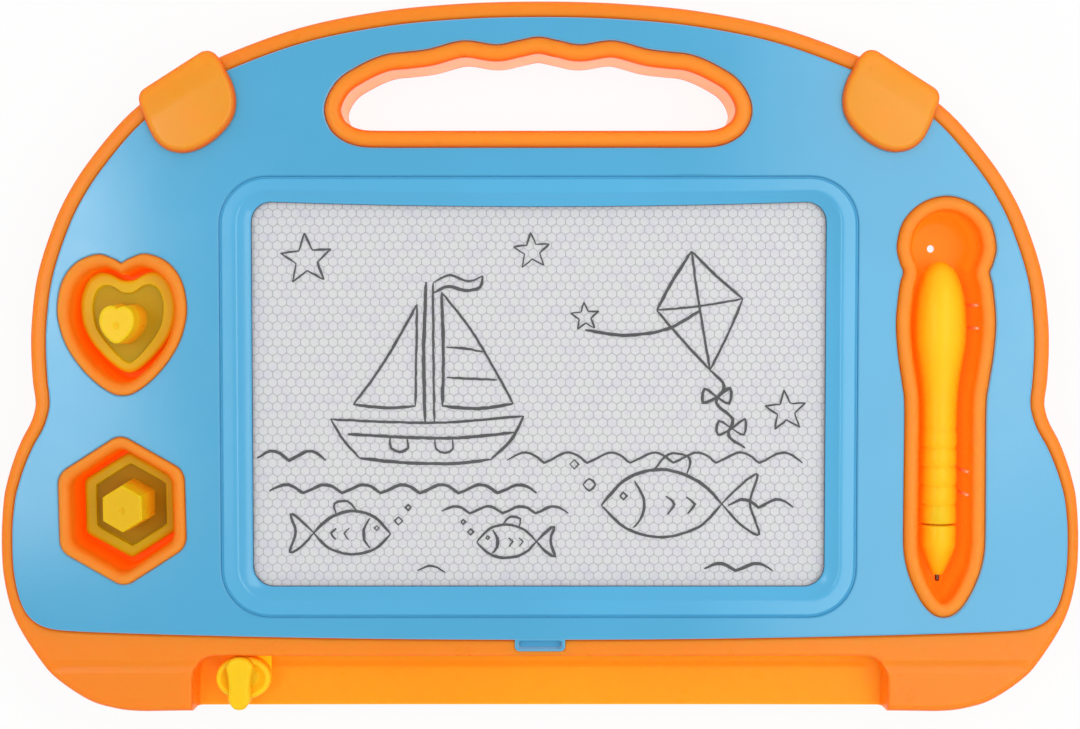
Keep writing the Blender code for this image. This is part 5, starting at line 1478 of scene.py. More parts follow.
@dataclass
class FacePlate:
    """The blue plate with its openings and the latch tab."""

    edge_round: float = 0.00042
    tab_half_width: float = 0.00612
    tab_end: float = -0.0715
    tab_overlap: float = 0.0012
    tab_corner: float = 0.0012
    tab_round: float = 0.0003
    tab_drop: float = 0.0001
    post_hole: float = 0.0035
    scoop_margin: float = 0.0007
    scoop_corner: float = 0.0008
    scoop_rim: float = 0.0005
    scoop_depth: float = 0.0020
    scoop_half: float = 0.00105
    shaded_groove_width: float = 0.0016

    def sheet(self) -> Piece:
        """Makes the plate from its outlines, with all its edges rounded."""
        holes = [BOARD.handle(), BOARD.bezel(), BOARD.in_tray_place(BOARD.tray())]
        holes += [moved(BOARD.heart(), *BOARD.heart_at), moved(BOARD.hexagon(), *BOARD.hexagon_at)]
        outlines = [BOARD.plate(), *(grown(hole, BOARD.seam) for hole in holes)]
        outlines += [moved(oval(self.post_hole, self.post_hole, 24), *place.post()) for place in CLIP_PLACES]
        curve = bpy.data.curves.new("face_plate", "CURVE")
        curve.dimensions = "2D"
        curve.fill_mode = "BOTH"
        curve.extrude = (BOARD.plate_top - BOARD.plate_bottom) / 2 - self.edge_round
        curve.bevel_depth = self.edge_round
        curve.bevel_resolution = 3
        curve.offset = -self.edge_round
        for outline in outlines:
            add_line(curve, [(*point, 1) for point in outline], closed=True)
        plate = from_curve(curve, (BOARD.plate_top + BOARD.plate_bottom) / 2)
        with editing(plate):
            close_up()
        return plate

    def tab(self) -> Piece:
        """Makes the latch tab with the scoop in its face."""
        ends = (self.tab_end, BOARD.plate_bottom_edge + self.tab_overlap)
        middle, half = (ends[1] + ends[0]) / 2, (ends[1] - ends[0]) / 2
        outline = moved(rounded_box(self.tab_half_width, half, self.tab_corner), 0, middle)
        top = BOARD.plate_top - self.tab_drop
        rings = [(outline, BOARD.plate_bottom), *round_edge(outline, self.tab_round, top, 4)]
        scoop = rounded_box(self.tab_half_width - self.scoop_margin, self.scoop_half, self.scoop_corner)
        scoop_y = self.tab_end + self.scoop_rim + self.scoop_half
        for inset, share in ((0.0, 0.0), (0.0001, 0.7), (0.0003, 1.0)):
            rings.append((moved(shrunk(scoop, inset), 0, scoop_y), top - self.scoop_depth * share))
        return ring_shape("latch_tab", rings)

    def in_shaded_groove(self, face: bpy.types.MeshPolygon) -> bool:
        """Tells whether a face of the plate is on the edge beside the screen surround, which gets a painted shade.

        Args:
            face: The face.

        Returns:
            True if it is.
        """
        sides = zip(face.center, BOARD.bezel_at, BOARD.bezel_half)
        beyond = max(abs(place - middle) - half for place, middle, half in sides)
        return beyond < self.shaded_groove_width and abs(face.normal.z) < 0.999

    def build(self) -> None:
        """Makes the plate and its tab."""
        # The plate's rounded edges carry a painted highlight.
        sheet = dress(self.sheet(), "blue_plate", "blue_plastic", "front_plate")
        # The groove beside the screen surround gets a painted shade.
        repaint(sheet, "blue_groove", self.in_shaded_groove)
        dress(self.tab(), "blue_plate", "blue_plastic")


@dataclass
class ScreenSurround:
    """The blue ring that rolls down to the window, and a thin dark strip under its lip that is a painted shadow."""

    crown: float = 0.0001
    lip: float = 0.0008
    seat_half: Pair = (0.0752, 0.0519)
    seat_corner: float = 0.003
    tongue: float = 0.003
    groove: float = 0.00065
    groove_depth: float = 0.0005
    shadow_strip_overhang: float = 0.0001
    shadow_strip_cover: float = 0.001

    def build(self) -> None:
        """Makes the surround."""
        edge = BOARD.bezel()
        window = BOARD.window()
        seat = moved(rounded_box(*self.seat_half, self.seat_corner), 0, BOARD.screen_y)
        flange = grown(edge, self.tongue)
        low, top = BOARD.plate_bottom, BOARD.plate_top
        shelf = low + self.lip
        rings = [(window, low), (window, shelf - 0.0003)]
        for share, height in SURROUND_SLOPE:
            mixed = [a.lerp(b, share) for a, b in zip(window, edge)]
            rings.append((mixed, shelf + (top + self.crown - shelf) * height))
        for share, depth in ((1.3, 0.0), (1.0, 0.12), (0.75, 0.45), (0.5, 0.8), (0.25, 0.97), (0.0, 1.0)):
            rings.append((inward(edge, self.groove * share), top - self.groove_depth * depth))
        rings += [(edge, BOARD.flange_top), (flange, BOARD.flange_top)]
        rings += [(flange, BOARD.flange_bottom), (seat, BOARD.flange_bottom), (seat, low)]
        dress(ring_shape("screen_surround", rings, Closing.LOOPED), "blue_moulding", "blue_plastic", "screen_bezel")
        # A thin dark strip under the lip round the window: a painted shadow where shade falls.
        inner, outer = inward(window, self.shadow_strip_overhang), grown(window, self.shadow_strip_cover)
        low, high = BOARD.flange_top + 0.00002, BOARD.plate_bottom - 0.00005
        rings = [(inner, low), (inner, high), (outer, high), (outer, low)]
        dress(ring_shape("window_gasket", rings, Closing.LOOPED), "window_gasket", "blue_plastic")


@dataclass
class CarryHandle:
    """The orange ring and sleeve round the carrying hole."""

    edge: float = 0.0017
    sleeve_wall: float = 0.0018
    foot: float = 0.00203

    def build(self) -> None:
        """Makes the handle."""
        outer = BOARD.handle()
        hole = inward(outer, BOARD.handle_ring)
        sleeve = grown(hole, self.sleeve_wall)
        wide = grown(outer, BOARD.flange_width)
        rings = [(hole, self.foot), *round_edge(hole, self.edge, BOARD.insert_top, outer=False)]
        rings += round_edge(outer, self.edge, BOARD.insert_top)[::-1]
        rings += [(outer, BOARD.flange_top), (wide, BOARD.flange_top), (wide, BOARD.flange_bottom)]
        rings += [(sleeve, BOARD.flange_bottom), (sleeve, self.foot)]
        ring = ring_shape("handle_ring", rings, Closing.LOOPED)
        dress(ring, "orange_ring", "orange_plastic", "handle_grip")
        # The sleeve's walls get a pale painted light.
        repaint(ring, "orange_sleeve", self.on_painted_lit_sleeve)

    def on_painted_lit_sleeve(self, face: bpy.types.MeshPolygon) -> bool:
        """Tells whether a face is one of the sleeve's upright walls, which get the painted light."""
        return abs(face.normal.z) < UPRIGHT_NORMAL and face.center.z < BOARD.flange_bottom


@dataclass
class PenTray:
    """The orange tray with its bulb, its tether hole and its small clips."""

    rim: float = 0.0036
    rim_round: float = 0.00175
    draft: float = 0.0004
    floor: float = 0.0068
    floor_round: float = 0.0022
    wall: float = 0.0013
    hole_radius: float = 0.00095
    clip_length: float = 0.0007
    clip_half: float = 0.00035
    clip_top: float = 0.0185
    clip_edge: float = 0.0002
    clip_ys: tuple[float, ...] = (0.0068, 0.0124, -0.0338, -0.0282)

    def build(self) -> None:
        """Makes the tray and its clips."""
        outer = BOARD.tray()
        cavity = inward(outer, self.rim)
        shell = grown(outer, self.wall - self.rim)
        wide = grown(outer, BOARD.flange_width)
        rings = [(grown(outer, self.wall - self.rim - self.draft), self.floor - self.wall)]
        rings += [(shell, BOARD.flange_bottom), (wide, BOARD.flange_bottom), (wide, BOARD.flange_top)]
        rings += [(outer, BOARD.flange_top), *round_edge(outer, self.rim_round, BOARD.insert_top, 7)]
        rings += round_edge(cavity, self.rim_round, BOARD.insert_top, 7, outer=False)[::-1]
        for share, rise in ((0.0, 1.0), (0.25, 0.45), (0.55, 0.16), (1.0, 0.0)):
            inner = drawn_in(outer, self.rim + self.draft + self.floor_round * share)
            rings.append((inner, self.floor + self.floor_round * rise))
        tray = ring_shape("tray_cup", [(BOARD.in_tray_place(outline), height) for outline, height in rings])
        hole = rod_shape("tether_hole", BOARD.tether_at, self.hole_radius, 0, self.floor + 0.004)
        combine(tray, [hole], Cut.REMOVE)
        # The tray gets painted depth shade and a painted glow in its hollow.
        dress(tray, "orange_cup", "orange_plastic", "pen_tray")
        right = [p for p in BOARD.in_tray_place(cavity) if p.x > BOARD.tray_at[0]]
        for i, y in enumerate(self.clip_ys):
            self.small_clip(f"pen_clip_{i}", min(right, key=lambda p: abs(p.y - y)).x, y)

    def small_clip(self, name: str, wall: float, y: float) -> None:
        """Makes one of the thin clips that hold the pen against the wall.

        Args:
            name: The clip's name.
            wall: The place of the wall.
            y: The place along the wall.
        """
        across = (wall - self.clip_length, wall + self.wall / 2)
        clip = box_shape(name, across, about(y, self.clip_half), (self.floor, self.clip_top))
        rounding = clip.modifiers.new("round", "BEVEL")
        rounding.width = self.clip_edge
        rounding.segments = 2
        bpy.ops.object.modifier_apply(modifier=rounding.name)
        # The clip gets a pale tone: a painted highlight.
        dress(clip, "orange_fin", "orange_plastic")


@dataclass(frozen=True)
class StampForm:
    """The outlines of one stamp and of its pocket about the pocket's centre, and where they lie."""

    name: str
    pocket: Outline
    foot: Outline
    dish: Outline
    knob: Outline
    at: Pair
    shift: Pair

    def rest(self) -> Pair:
        """Gives the place of the loose stamp in its pocket."""
        return self.at[0] + self.shift[0], self.at[1] + self.shift[1]


def stamp_forms() -> tuple[StampForm, StampForm]:
    """Gives the heart-shaped and the hexagonal stamp with their pockets."""
    heart = StampForm(
        name="heart",
        pocket=BOARD.heart(),
        foot=moved(turned(mirrored(HEART_FOOT_SHARES, 0.0119, 0.0125, 8), 1), 0, 0.0004),
        dish=turned(mirrored(HEART_DISH_SHARES, 0.00865, 0.0096, 8), 1),
        knob=moved(turned(mirrored(HEART_SHARES, 0.0042, 0.0045, 6, corner_top=True), -2), -0.00025, 0),
        at=BOARD.heart_at,
        shift=(0.0001, 0.0001),
    )
    hexagon = StampForm(
        name="hexagon",
        pocket=BOARD.hexagon(),
        foot=turned(rounded_hexagon(0.0112, 0.0129, 0.0016), BOARD.hexagon_turn),
        dish=moved(turned(rounded_hexagon(0.0085, 0.0101, 0.0004), BOARD.hexagon_turn), 0.0003, 0.0001),
        knob=moved(turned(rounded_hexagon(0.0047, 0.0056, 0.0004, 4), 1), 0.0007, 0.0004),
        at=BOARD.hexagon_at,
        shift=(0.0006, 0.0007),
    )
    return heart, hexagon


@dataclass
class StampSet:
    """One stamp and the pocket that it lies in."""

    form: StampForm
    rim: float = 0.0031
    outer_round: float = 0.0009
    inner_round: float = 0.0021
    draft: float = 0.0003
    floor: float = 0.008
    floor_round: float = 0.0004
    wall: float = 0.0013
    foot_top: float = 0.014
    foot_round: float = 0.0011
    dish: float = 0.0127
    dish_edge: float = 0.0003
    dish_round: float = 0.0002
    magnet_margin: float = 0.0014
    magnet_roof: float = 0.0101
    knob_top: float = 0.0275
    knob_round: float = 0.0007
    knob_taper: float = 0.0005
    knob_overlap: float = 0.0005
    dimple_radius: float = 0.0013
    dimple_rise: float = 0.0009
    dimple_shift: float = 0.0005

    def build(self) -> None:
        """Makes the pocket, the stamp and its magnet."""
        self.pocket()
        self.stamp()
        self.magnet()

    def pocket(self) -> None:
        """Makes the pocket."""
        name, outer, top = self.form.name, self.form.pocket, BOARD.insert_top
        bottom = shrunk(outer, self.rim + self.draft)
        wide = shrunk(outer, -BOARD.flange_width)
        rings = [(shrunk(outer, self.rim + self.draft - self.wall), self.floor - self.wall)]
        rings += [(shrunk(outer, self.rim - self.wall), BOARD.flange_bottom), (wide, BOARD.flange_bottom)]
        rings += [(wide, BOARD.flange_top), (outer, BOARD.flange_top)]
        rings += round_edge(outer, self.outer_round, top, inset=shrunk)
        rings += round_edge(shrunk(outer, self.rim), self.inner_round, top, 8, outer=False, inset=shrunk)[::-1]
        rings += [(bottom, self.floor + self.floor_round), (shrunk(bottom, self.floor_round), self.floor)]
        cup = ring_shape(f"{name}_cup", rings, at=self.form.at)
        # The pocket gets painted depth shade and a painted glow down its walls.
        dress(cup, "orange_pocket", "orange_plastic", f"{name}_pocket")

    def stamp(self) -> None:
        """Makes the stamp with its dished foot and tall knob."""
        form, name, at = self.form, self.form.name, self.form.rest()
        under = shrunk(form.foot, self.magnet_margin)
        base = self.floor + BOARD.gap
        rings = [(under, self.magnet_roof), (under, base), (form.foot, base)]
        rings += round_edge(form.foot, self.foot_round, self.foot_top, inset=shrunk)
        dish = resampled(form.dish, len(form.foot))
        rings += round_edge(dish, self.dish_edge, self.foot_top, 3, outer=False, inset=shrunk)[::-1]
        rings += [(dish, self.dish + self.dish_round), (shrunk(dish, self.dish_round), self.dish)]
        stamp = ring_shape(f"{name}_stamp_body", rings, at=at)
        rings = [(shrunk(form.knob, -self.knob_taper), self.dish - self.knob_overlap)]
        rings += round_edge(form.knob, self.knob_round, self.knob_top, 5, inset=shrunk)
        combine(stamp, [ring_shape(f"{name}_knob", rings, at=at)], Cut.ADD)
        middle = sum(form.knob, Vector((0.0, 0.0))) / len(form.knob)
        place = (at[0] + middle.x, at[1] + middle.y - self.dimple_shift, self.knob_top + self.dimple_rise)
        settings = {"segments": 24, "ring_count": 12, "radius": self.dimple_radius, "location": place}
        combine(stamp, [fresh(f"{name}_dimple", bpy.ops.mesh.primitive_uv_sphere_add, **settings)], Cut.REMOVE)
        # The knob finishes are lit and shaded copies of the yellow: painted light.
        dress(stamp, f"{name}_knob", "yellow_plastic", f"{name}_stamp", body=f"{name}_stamp")
        even_normals(stamp)
        # The dish floor and the foot get darker yellow: painted shade.
        repaint(stamp, f"{name}_dish", self.in_shaded_dish)
        repaint(stamp, f"{name}_foot", lambda face: face.center.z < self.foot_top + 0.0001 and not self.in_shaded_dish(face))

    def in_shaded_dish(self, face: bpy.types.MeshPolygon) -> bool:
        """Tells whether a face of the stamp is the floor of its dish, which gets a painted shade."""
        return face.normal.z > FLAT_NORMAL and abs(face.center.z - self.dish) < 0.0003

    def magnet(self) -> None:
        """Makes the magnet sheet in the underside of the foot."""
        name = self.form.name
        outline = shrunk(self.form.foot, self.magnet_margin + BOARD.gap)
        rings = [(outline, self.floor + BOARD.gap), (outline, self.magnet_roof - BOARD.gap)]
        sheet = ring_shape(f"{name}_magnet_sheet", rings, at=self.form.rest())
        dress(sheet, "bonded_magnet", "magnet_black", f"{name}_stamp_magnet", body=f"{name}_stamp")


@dataclass
class CornerClip:
    """One orange clip over the edge of the plate and the rim."""

    place: ClipPlace
    low: float = 0.0212
    top: float = 0.0234
    edge: float = 0.0017
    crown: float = 0.0002
    crown_reach: float = 0.011
    band: float = 0.0022
    band_softness: float = 0.0012
    band_slope: float = 0.19
    post_radius: float = 0.0032
    post_bottom: float = 0.008
    post_overlap: float = 0.0006
    bore_top: float = 0.0163
    flat_shares: tuple[float, ...] = (0.9, 0.8, 0.7, 0.6, 0.5, 0.4, 0.3, 0.2, 0.1, 0.03)

    def build(self) -> None:
        """Makes the clip on its hollow post."""
        place = self.place
        points = [Vector(point) * 0.001 for point in CLIP_POINTS]
        outline = smooth([points[-1], *points, *points[:2]], 5)
        if place.at[0] > 0:
            outline = flipped(outline)
        rings = [(outline, self.low), *round_edge(outline, self.edge, self.top, 7, inset=pulled)]
        flat = rings[-1][0]
        rings += [([p * share for p in flat], self.top) for share in self.flat_shares]
        middle = (place.at[0] + place.shift[0], place.at[1] + place.shift[1])
        name = f"corner_tab_{place.side}"
        clip = ring_shape(name, rings, at=middle)
        self.slope_band(clip, Vector(middle))
        ends = (self.post_bottom, self.low + self.post_overlap)
        combine(clip, [rod_shape(f"{name}_post", place.post(), self.post_radius, *ends)], Cut.ADD)
        ends = (self.post_bottom - OVERRUN, self.bore_top)
        combine(clip, [rod_shape(f"{name}_bore", place.post(), BOARD.bore_radius, *ends, 16)], Cut.REMOVE)
        # The clip's finish is a lighter copy of the orange with a stronger painted side shade.
        dress(clip, "orange_clip", "orange_plastic", f"corner_clip_{place.side}")

    def slope_band(self, clip: Piece, middle: Vector) -> None:
        """Lowers the clip's outer band and gives its face a slight crown.

        Args:
            clip: The clip.
            middle: The place of its middle.
        """
        outward = self.place.outward()
        with editing(clip) as shape:
            for vertex in shape.verts:
                rise = (vertex.co.z - self.low) / (self.top - self.low)
                offset = vertex.co.xy - middle
                beyond = max(0.0, offset.dot(outward) - self.band)
                bend = beyond**2 / (beyond + self.band_softness) * self.band_slope
                swell = max(0.0, 1 - (offset.length / self.crown_reach) ** 2) ** 2
                vertex.co.z += rise * (self.crown * swell - bend)


@dataclass
class SliderKnob:
    """The yellow knob in the recess: a dished oval with an upright thumb rib."""

    shift: float = -0.0004
    rib_shift: float = -0.0011
    half: Pair = (0.00675, 0.0053)
    bottom: float = 0.0152
    disc: float = 0.0036
    disc_round: float = 0.0009
    rib_half_width: float = 0.0033
    rib_reach: float = 0.0022
    rib_top: float = 0.0212
    rib_round: float = 0.0011
    rib_sink: float = 0.0001
    bore_radius: float = 0.0013
    bore_ends: Pair = (0.0148, 0.0191)

    def build(self) -> None:
        """Makes the knob."""
        x, y = BOARD.knob_at
        ellipse = oval(*self.half, 72)
        top = self.bottom + self.disc
        rings = [(ellipse, self.bottom), *round_edge(ellipse, self.disc_round, top)]
        for inset, drop in ((0.0012, 0.0), (0.0017, 0.0004), (0.0023, 0.00102), (0.0032, 0.0012)):
            rings.append((shrunk(ellipse, inset), top - drop))
        knob = ring_shape("thumb_knob", rings, at=(x + self.shift, y))
        outline = mirrored(RIB_SHARES, self.rib_half_width, self.half[1] + self.rib_reach / 2, 8)
        outline = moved(outline, 0, -self.rib_reach / 2)
        rings = [(outline, self.bottom + self.rib_sink), *round_edge(outline, self.rib_round, self.rib_top, 7)]
        combine(knob, [ring_shape("thumb_rib", rings, at=(x + self.rib_shift, y))], Cut.ADD)
        combine(knob, [rod_shape("knob_bore", BOARD.knob_at, self.bore_radius, *self.bore_ends, 16)], Cut.REMOVE)
        dress(knob, "yellow_moulding", "yellow_plastic", "slider_knob", body="eraser")


@dataclass
class Wiper:
    """The eraser's bar behind the screen, with its arm out to the knob."""

    half_width: float = 0.0035
    channel_half: float = 0.0023
    channel_end: float = 0.001
    channel_floor: float = 0.0015
    arm_half: float = 0.0048
    arm_shift: float = 0.0009
    arm_reach: float = 0.0095
    arm_thickness: float = 0.0018
    heel_radius: float = 0.0046
    pad_radius: float = 0.0041
    pad_thickness: float = 0.003
    bore_radius: float = 0.0013
    sink_radius: float = 0.0023
    sink_depth: float = 0.0014

    def build(self) -> None:
        """Makes the bar, its magnet channel, its arm and the pad under the knob."""
        (_, _, bottom), (_, end, top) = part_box("eraser_bar")
        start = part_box("eraser_magnet_strip")[0][1] - self.channel_end - BOARD.gap
        at = x, y = BOARD.knob_at
        bar = box_shape("wiper_bar", about(x, self.half_width), (start, end), (bottom, top))
        arm_top = bottom + self.arm_thickness
        spans = (about(x + self.arm_shift, self.arm_half), (y, start + self.arm_reach), (bottom, arm_top))
        arm = box_shape("wiper_arm", *spans)
        heel = rod_shape("wiper_heel", at, self.heel_radius, bottom, arm_top - 0.0001, 48)
        pad = rod_shape("wiper_pad", at, self.pad_radius, bottom, bottom + self.pad_thickness, 48)
        combine(bar, [arm, heel, pad], Cut.ADD)
        inside = (start + self.channel_end, end - self.channel_end)
        spans = (about(x, self.channel_half), inside, (bottom + self.channel_floor, top + OVERRUN))
        channel = box_shape("wiper_channel", *spans)
        bore = rod_shape("wiper_bore", at, self.bore_radius, bottom - OVERRUN, top + OVERRUN, 16)
        sink = rod_shape("wiper_sink", at, self.sink_radius, bottom - OVERRUN, bottom + self.sink_depth, 24)
        combine(bar, [channel, bore, sink], Cut.REMOVE)
        # The arm gets a painted glow under the lip.
        dress(bar, "yellow_arm", "yellow_plastic", "eraser_bar", body="eraser")


@dataclass
class Pen:
    """The yellow pen in its tray, with its grip, its tip and its dark point."""

    length: float = 0.0770
    top_y: float = 0.0233
    axis_z: float = 0.0137
    radius: float = 0.0066
    grip_radius: float = 0.00455
    grip_bulges: int = 5
    tip_length: float = 0.0126
    spigot_radius: float = 0.0031
    spigot_length: float = 0.004
    nib_radius: float = 0.0006
    nib_reach: float = 0.0018
    bore_radius: float = 0.0012
    lean: float = math.radians(-0.5)

    def lay(self, name: str, node: str, profile: list[Pair], finish: str, slot: str, sides: int = 64) -> None:
        """Turns one piece of the pen, lays it along the tray and dresses it.

        Args:
            name: The piece's name.
            node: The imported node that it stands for.
            profile: Its radius and its place along the pen, from the pen's head on.
            finish: The name of its material.
            slot: The record's slot for that material.
            sides: The number of sides round the pen.
        """
        piece = spun(name, profile, sides)
        activate(piece)
        piece.rotation_euler = (-math.pi / 2, 0, self.lean)
        piece.location = (BOARD.tray_at[0], self.top_y, self.axis_z)
        settle()
        dress(piece, finish, slot, node, body="pen")

    def barrel_profile(self, barrel: float) -> list[Pair]:
        """Gives the barrel's radius along its length.

        Args:
            barrel: The barrel's length.

        Returns:
            Each radius with its place, which is at or below zero.
        """
        profile = [(radius * self.radius, -along * barrel) for along, radius in BARREL_SHARES]
        start = 0.64 * barrel
        pitch = (barrel - start) / self.grip_bulges
        for i in range(self.grip_bulges):
            for share, swell in ((0.0, -0.00028), (0.1, -0.00012), (0.3, 0.00004), (0.6, 0.00008), (0.85, 0.0)):
                profile.append((self.grip_radius + swell, -(start + (i + share) * pitch)))
        return [*profile, (self.grip_radius - 0.0001, -barrel + 0.0002), (self.grip_radius - 0.0004, -barrel)]

    def build(self) -> None:
        """Makes the barrel, the tip and the point."""
        yellow = ("yellow_moulding", "yellow_plastic")
        barrel = self.length - self.tip_length
        socket = -(barrel - self.spigot_length - BOARD.gap)
        hollow = [(self.spigot_radius, -barrel), (self.spigot_radius, socket), (0, socket)]
        self.lay("pen_body", "pen_barrel", [*self.barrel_profile(barrel), *hollow], *yellow)
        start = -(barrel + BOARD.gap)
        end = -self.length
        grip = self.grip_radius
        spigot = self.spigot_radius - BOARD.gap
        profile = [(0, -barrel + self.spigot_length), (spigot, -barrel + self.spigot_length), (spigot, start)]
        profile += [(grip - 0.0004, start), (grip - 0.0001, start - 0.0002), (grip, start - 0.0006)]
        profile += [(grip - 0.00005, start - 0.0046), (grip * 0.95, start - 0.0056), (grip * 0.84, start - 0.0071)]
        profile += [(grip * 0.66, start - 0.0089), (grip * 0.5, start - 0.0105), (grip * 0.36, end + 0.0006)]
        profile += [(grip * 0.29, end), (self.bore_radius, end), (self.bore_radius, end + 0.004), (0, end + 0.004)]
        self.lay("pen_point", "pen_tip", profile, *yellow)
        radius = self.nib_radius
        reach = end - self.nib_reach
        profile = [(0, end + 0.0037), (radius, end + 0.0037)]
        for step in range(6):
            angle = math.pi / 2 * step / 5
            profile.append((radius * math.cos(angle), reach + radius * (1 - math.sin(angle))))
        self.lay("pen_magnet_point", "pen_nib", profile, "dark_metal", "dark_metal", 32)


@dataclass
class Screen:
    """The honeycomb panel with the drawn picture under its clear film."""

    pitch: float = 0.00227
    cell_share: float = 0.483
    cell_corner: float = 0.975
    cell_round: float = 0.00006
    cell_sink: float = 0.0001
    slab_bottom: float = 0.0161
    slab_top: float = 0.01738
    slab_corner: float = 0.003
    cell_top: float = 0.0175
    line_height: float = 0.0177
    line_radius: float = 0.00036
    line_share: float = 0.28
    wobble: float = 0.00006
    end_width: float = 0.45
    end_growth: float = 0.2
    pressure: Pair = (0.72, 1.12)
    unevenness: Pair = (0.86, 1.14)
    half: Pair = (0.0748, 0.0518)

    def cell_pair(self, row: float) -> Piece:
        """Makes one milky cell and its neighbour in the next row.

        Args:
            row: The distance between two rows.

        Returns:
            The two cells, the first of them about zero.
        """
        radius = self.pitch * self.cell_share / math.cos(math.pi / 6)
        settings = {"vertices": 12, "radius": radius, "fill_type": "NGON"}
        cell = fresh("milky_cells", bpy.ops.mesh.primitive_circle_add, **settings)
        with editing(cell) as shape:
            for vertex in shape.verts:
                angle = math.atan2(vertex.co.y, vertex.co.x)
                beyond = abs((angle + math.pi / 6) % (math.pi / 3) - math.pi / 6)
                across = radius * math.cos(math.pi / 6) / math.cos(beyond)
                reach = min(across, radius * self.cell_corner)
                vertex.co = (math.cos(angle) * reach, math.sin(angle) * reach, self.slab_top - self.cell_sink)
            bmesh.update_edit_mesh(cell.data)
            bpy.ops.mesh.select_all(action="SELECT")
            bpy.ops.mesh.inset(thickness=self.cell_round, depth=0)
            bpy.ops.transform.translate(value=(0, 0, self.cell_top - self.slab_top + self.cell_sink))
            bpy.ops.mesh.select_mode(type="EDGE")
            bpy.ops.mesh.select_all(action="DESELECT")
            bpy.ops.mesh.select_non_manifold()
            bpy.ops.mesh.edge_face_add()
            bpy.ops.mesh.select_mode(type="VERT")
            close_up(merge=False)
            bpy.ops.mesh.duplicate()
            bpy.ops.transform.translate(value=(self.pitch / 2, row, 0))
        return cell

    def cells(self) -> None:
        """Makes the sheet of cell walls and the milky cells in it."""
        outline = rounded_box(*self.half, self.slab_corner)
        rings = [(outline, self.slab_bottom), (outline, self.slab_top)]
        slab = ring_shape("cell_walls", rings, at=(0, BOARD.screen_y))
        dress(slab, "cell_wall", "pale_honeycomb", "honeycomb_panel")
        row = self.pitch * math.sqrt(3) / 2
        columns = int((2 * self.half[0] - self.pitch) / self.pitch)
        pairs = int((2 * self.half[1] - row) / row / 2)
        cell = self.cell_pair(row)
        cell.location = (-(columns - 0.5) * self.pitch / 2, BOARD.screen_y - (2 * pairs - 1) * row / 2, 0)
        settle()
        for count, step in ((columns, (self.pitch, 0, 0)), (pairs, (0, 2 * row, 0))):
            array = cell.modifiers.new("row", "ARRAY")
            array.count = count
            array.use_relative_offset = False
            array.use_constant_offset = True
            array.constant_offset_displace = step
            bpy.ops.object.modifier_apply(modifier=array.name)
        dress(cell, "milky_cell", "pale_honeycomb", shade=False)

    def picture(self) -> None:
        """Lays the drawn lines on the cells."""
        rng = random.Random(7)
        curve = bpy.data.curves.new("drawn_lines", "CURVE")
        curve.dimensions = "3D"
        curve.bevel_depth = self.line_radius
        curve.bevel_resolution = 1
        curve.use_fill_caps = True
        for stroke in Picture().strokes():
            points = flowing(stroke)
            pressure = rng.uniform(*self.pressure)
            line = []
            for i, point in enumerate(points):
                taper = min(1.0, self.end_width + self.end_growth * min(i, len(points) - 1 - i))
                x = point.x / 1000 + rng.uniform(-self.wobble, self.wobble)
                y = point.y / 1000 + rng.uniform(-self.wobble, self.wobble) + BOARD.screen_y
                line.append((x, y, pressure * taper * rng.uniform(*self.unevenness)))
            add_line(curve, line, closed=False)
        lines = from_curve(curve, self.line_height, self.line_share)
        dress(lines, "magnetic_powder", "dark_metal", shade=False)

    def build(self) -> None:
        """Makes the cells and the picture."""
        self.cells()
        self.picture()


def flowing(stroke: Stroke, spacing: float = 1.1) -> Outline:
    """Runs a smooth line through a stroke's points.

    Args:
        stroke: The stroke, in millimetres about the screen's centre.
        spacing: The distance between the points of the result.

    Returns:
        The line's points.
    """
    run = [Vector(point) for point in (stroke[0], *stroke, stroke[-1])]
    line = []
    for a, b, c, d in zip(run, run[1:], run[2:], run[3:]):
        line += stretch(a, b, c, d, max(1, round((c - b).length / spacing)))
    return [*line, run[-1]]


def drawn(lines: list[Stroke], x: float, y: float, size: float = 1, side: int = 1) -> list[Stroke]:
    """Brings lines to their size and place on the screen.

    Args:
        lines: The lines about zero.
        x: The place across the screen.
        y: The place up the screen.
        size: The factor of their size.
        side: 1, or -1 for their mirror image.

    Returns:
        The lines on the screen.
    """
    return [[(px * size * side + x, py * size + y) for px, py in line] for line in lines]


class Picture:
    """A plain line drawing: a sailing boat on waves, fish below, a kite and some stars."""

    def strokes(self) -> list[Stroke]:
        """Gives every stroke as points in millimetres about the screen's centre."""
        strokes = drawn(BOAT_LINES, -27.0, 3.0) + drawn(KITE_LINES, 38.0, 20.0) + self.waves()
        strokes += drawn(FISH_LINES, 30.0, -27.0, 1.25)
        strokes += drawn(FISH_LINES, -46.0, -34.0, 0.8, -1)
        strokes += drawn(FISH_LINES, -8.0, -36.0, 0.62)
        for x, y, size in ((-57.0, 33.0, 6.5), (-2.0, 35.0, 4.6), (60.0, -4.0, 5.2), (11.0, 19.0, 3.6)):
            strokes += self.star(x, y, size)
        return strokes

    def waves(self) -> list[Stroke]:
        """Draws the rows of waves."""
        lines = []
        for start, end, level, height, length in WAVE_ROWS:
            line = []
            for i in range(int((end - start) / length)):
                left = start + i * length
                for share, rise in ((0, 0), (0.35, 1), (0.62, 0.7), (0.86, -0.35)):
                    line.append((left + length * share, level + height * rise))
            lines.append(line)
        return lines

    def star(self, x: float, y: float, size: float) -> list[Stroke]:
        """Draws a five-pointed star as ten short lines.

        Args:
            x: The place across the screen.
            y: The place up the screen.
            size: The reach of its points.

        Returns:
            The lines.
        """
        corners = []
        for i in range(10):
            reach = size if i % 2 == 0 else size * 0.42
            angle = math.pi / 2 + math.pi / 5 * i + 0.08
            corners.append((x + math.cos(angle) * reach, y + math.sin(angle) * reach))
        return [[corners[i], corners[(i + 1) % 10]] for i in range(10)]


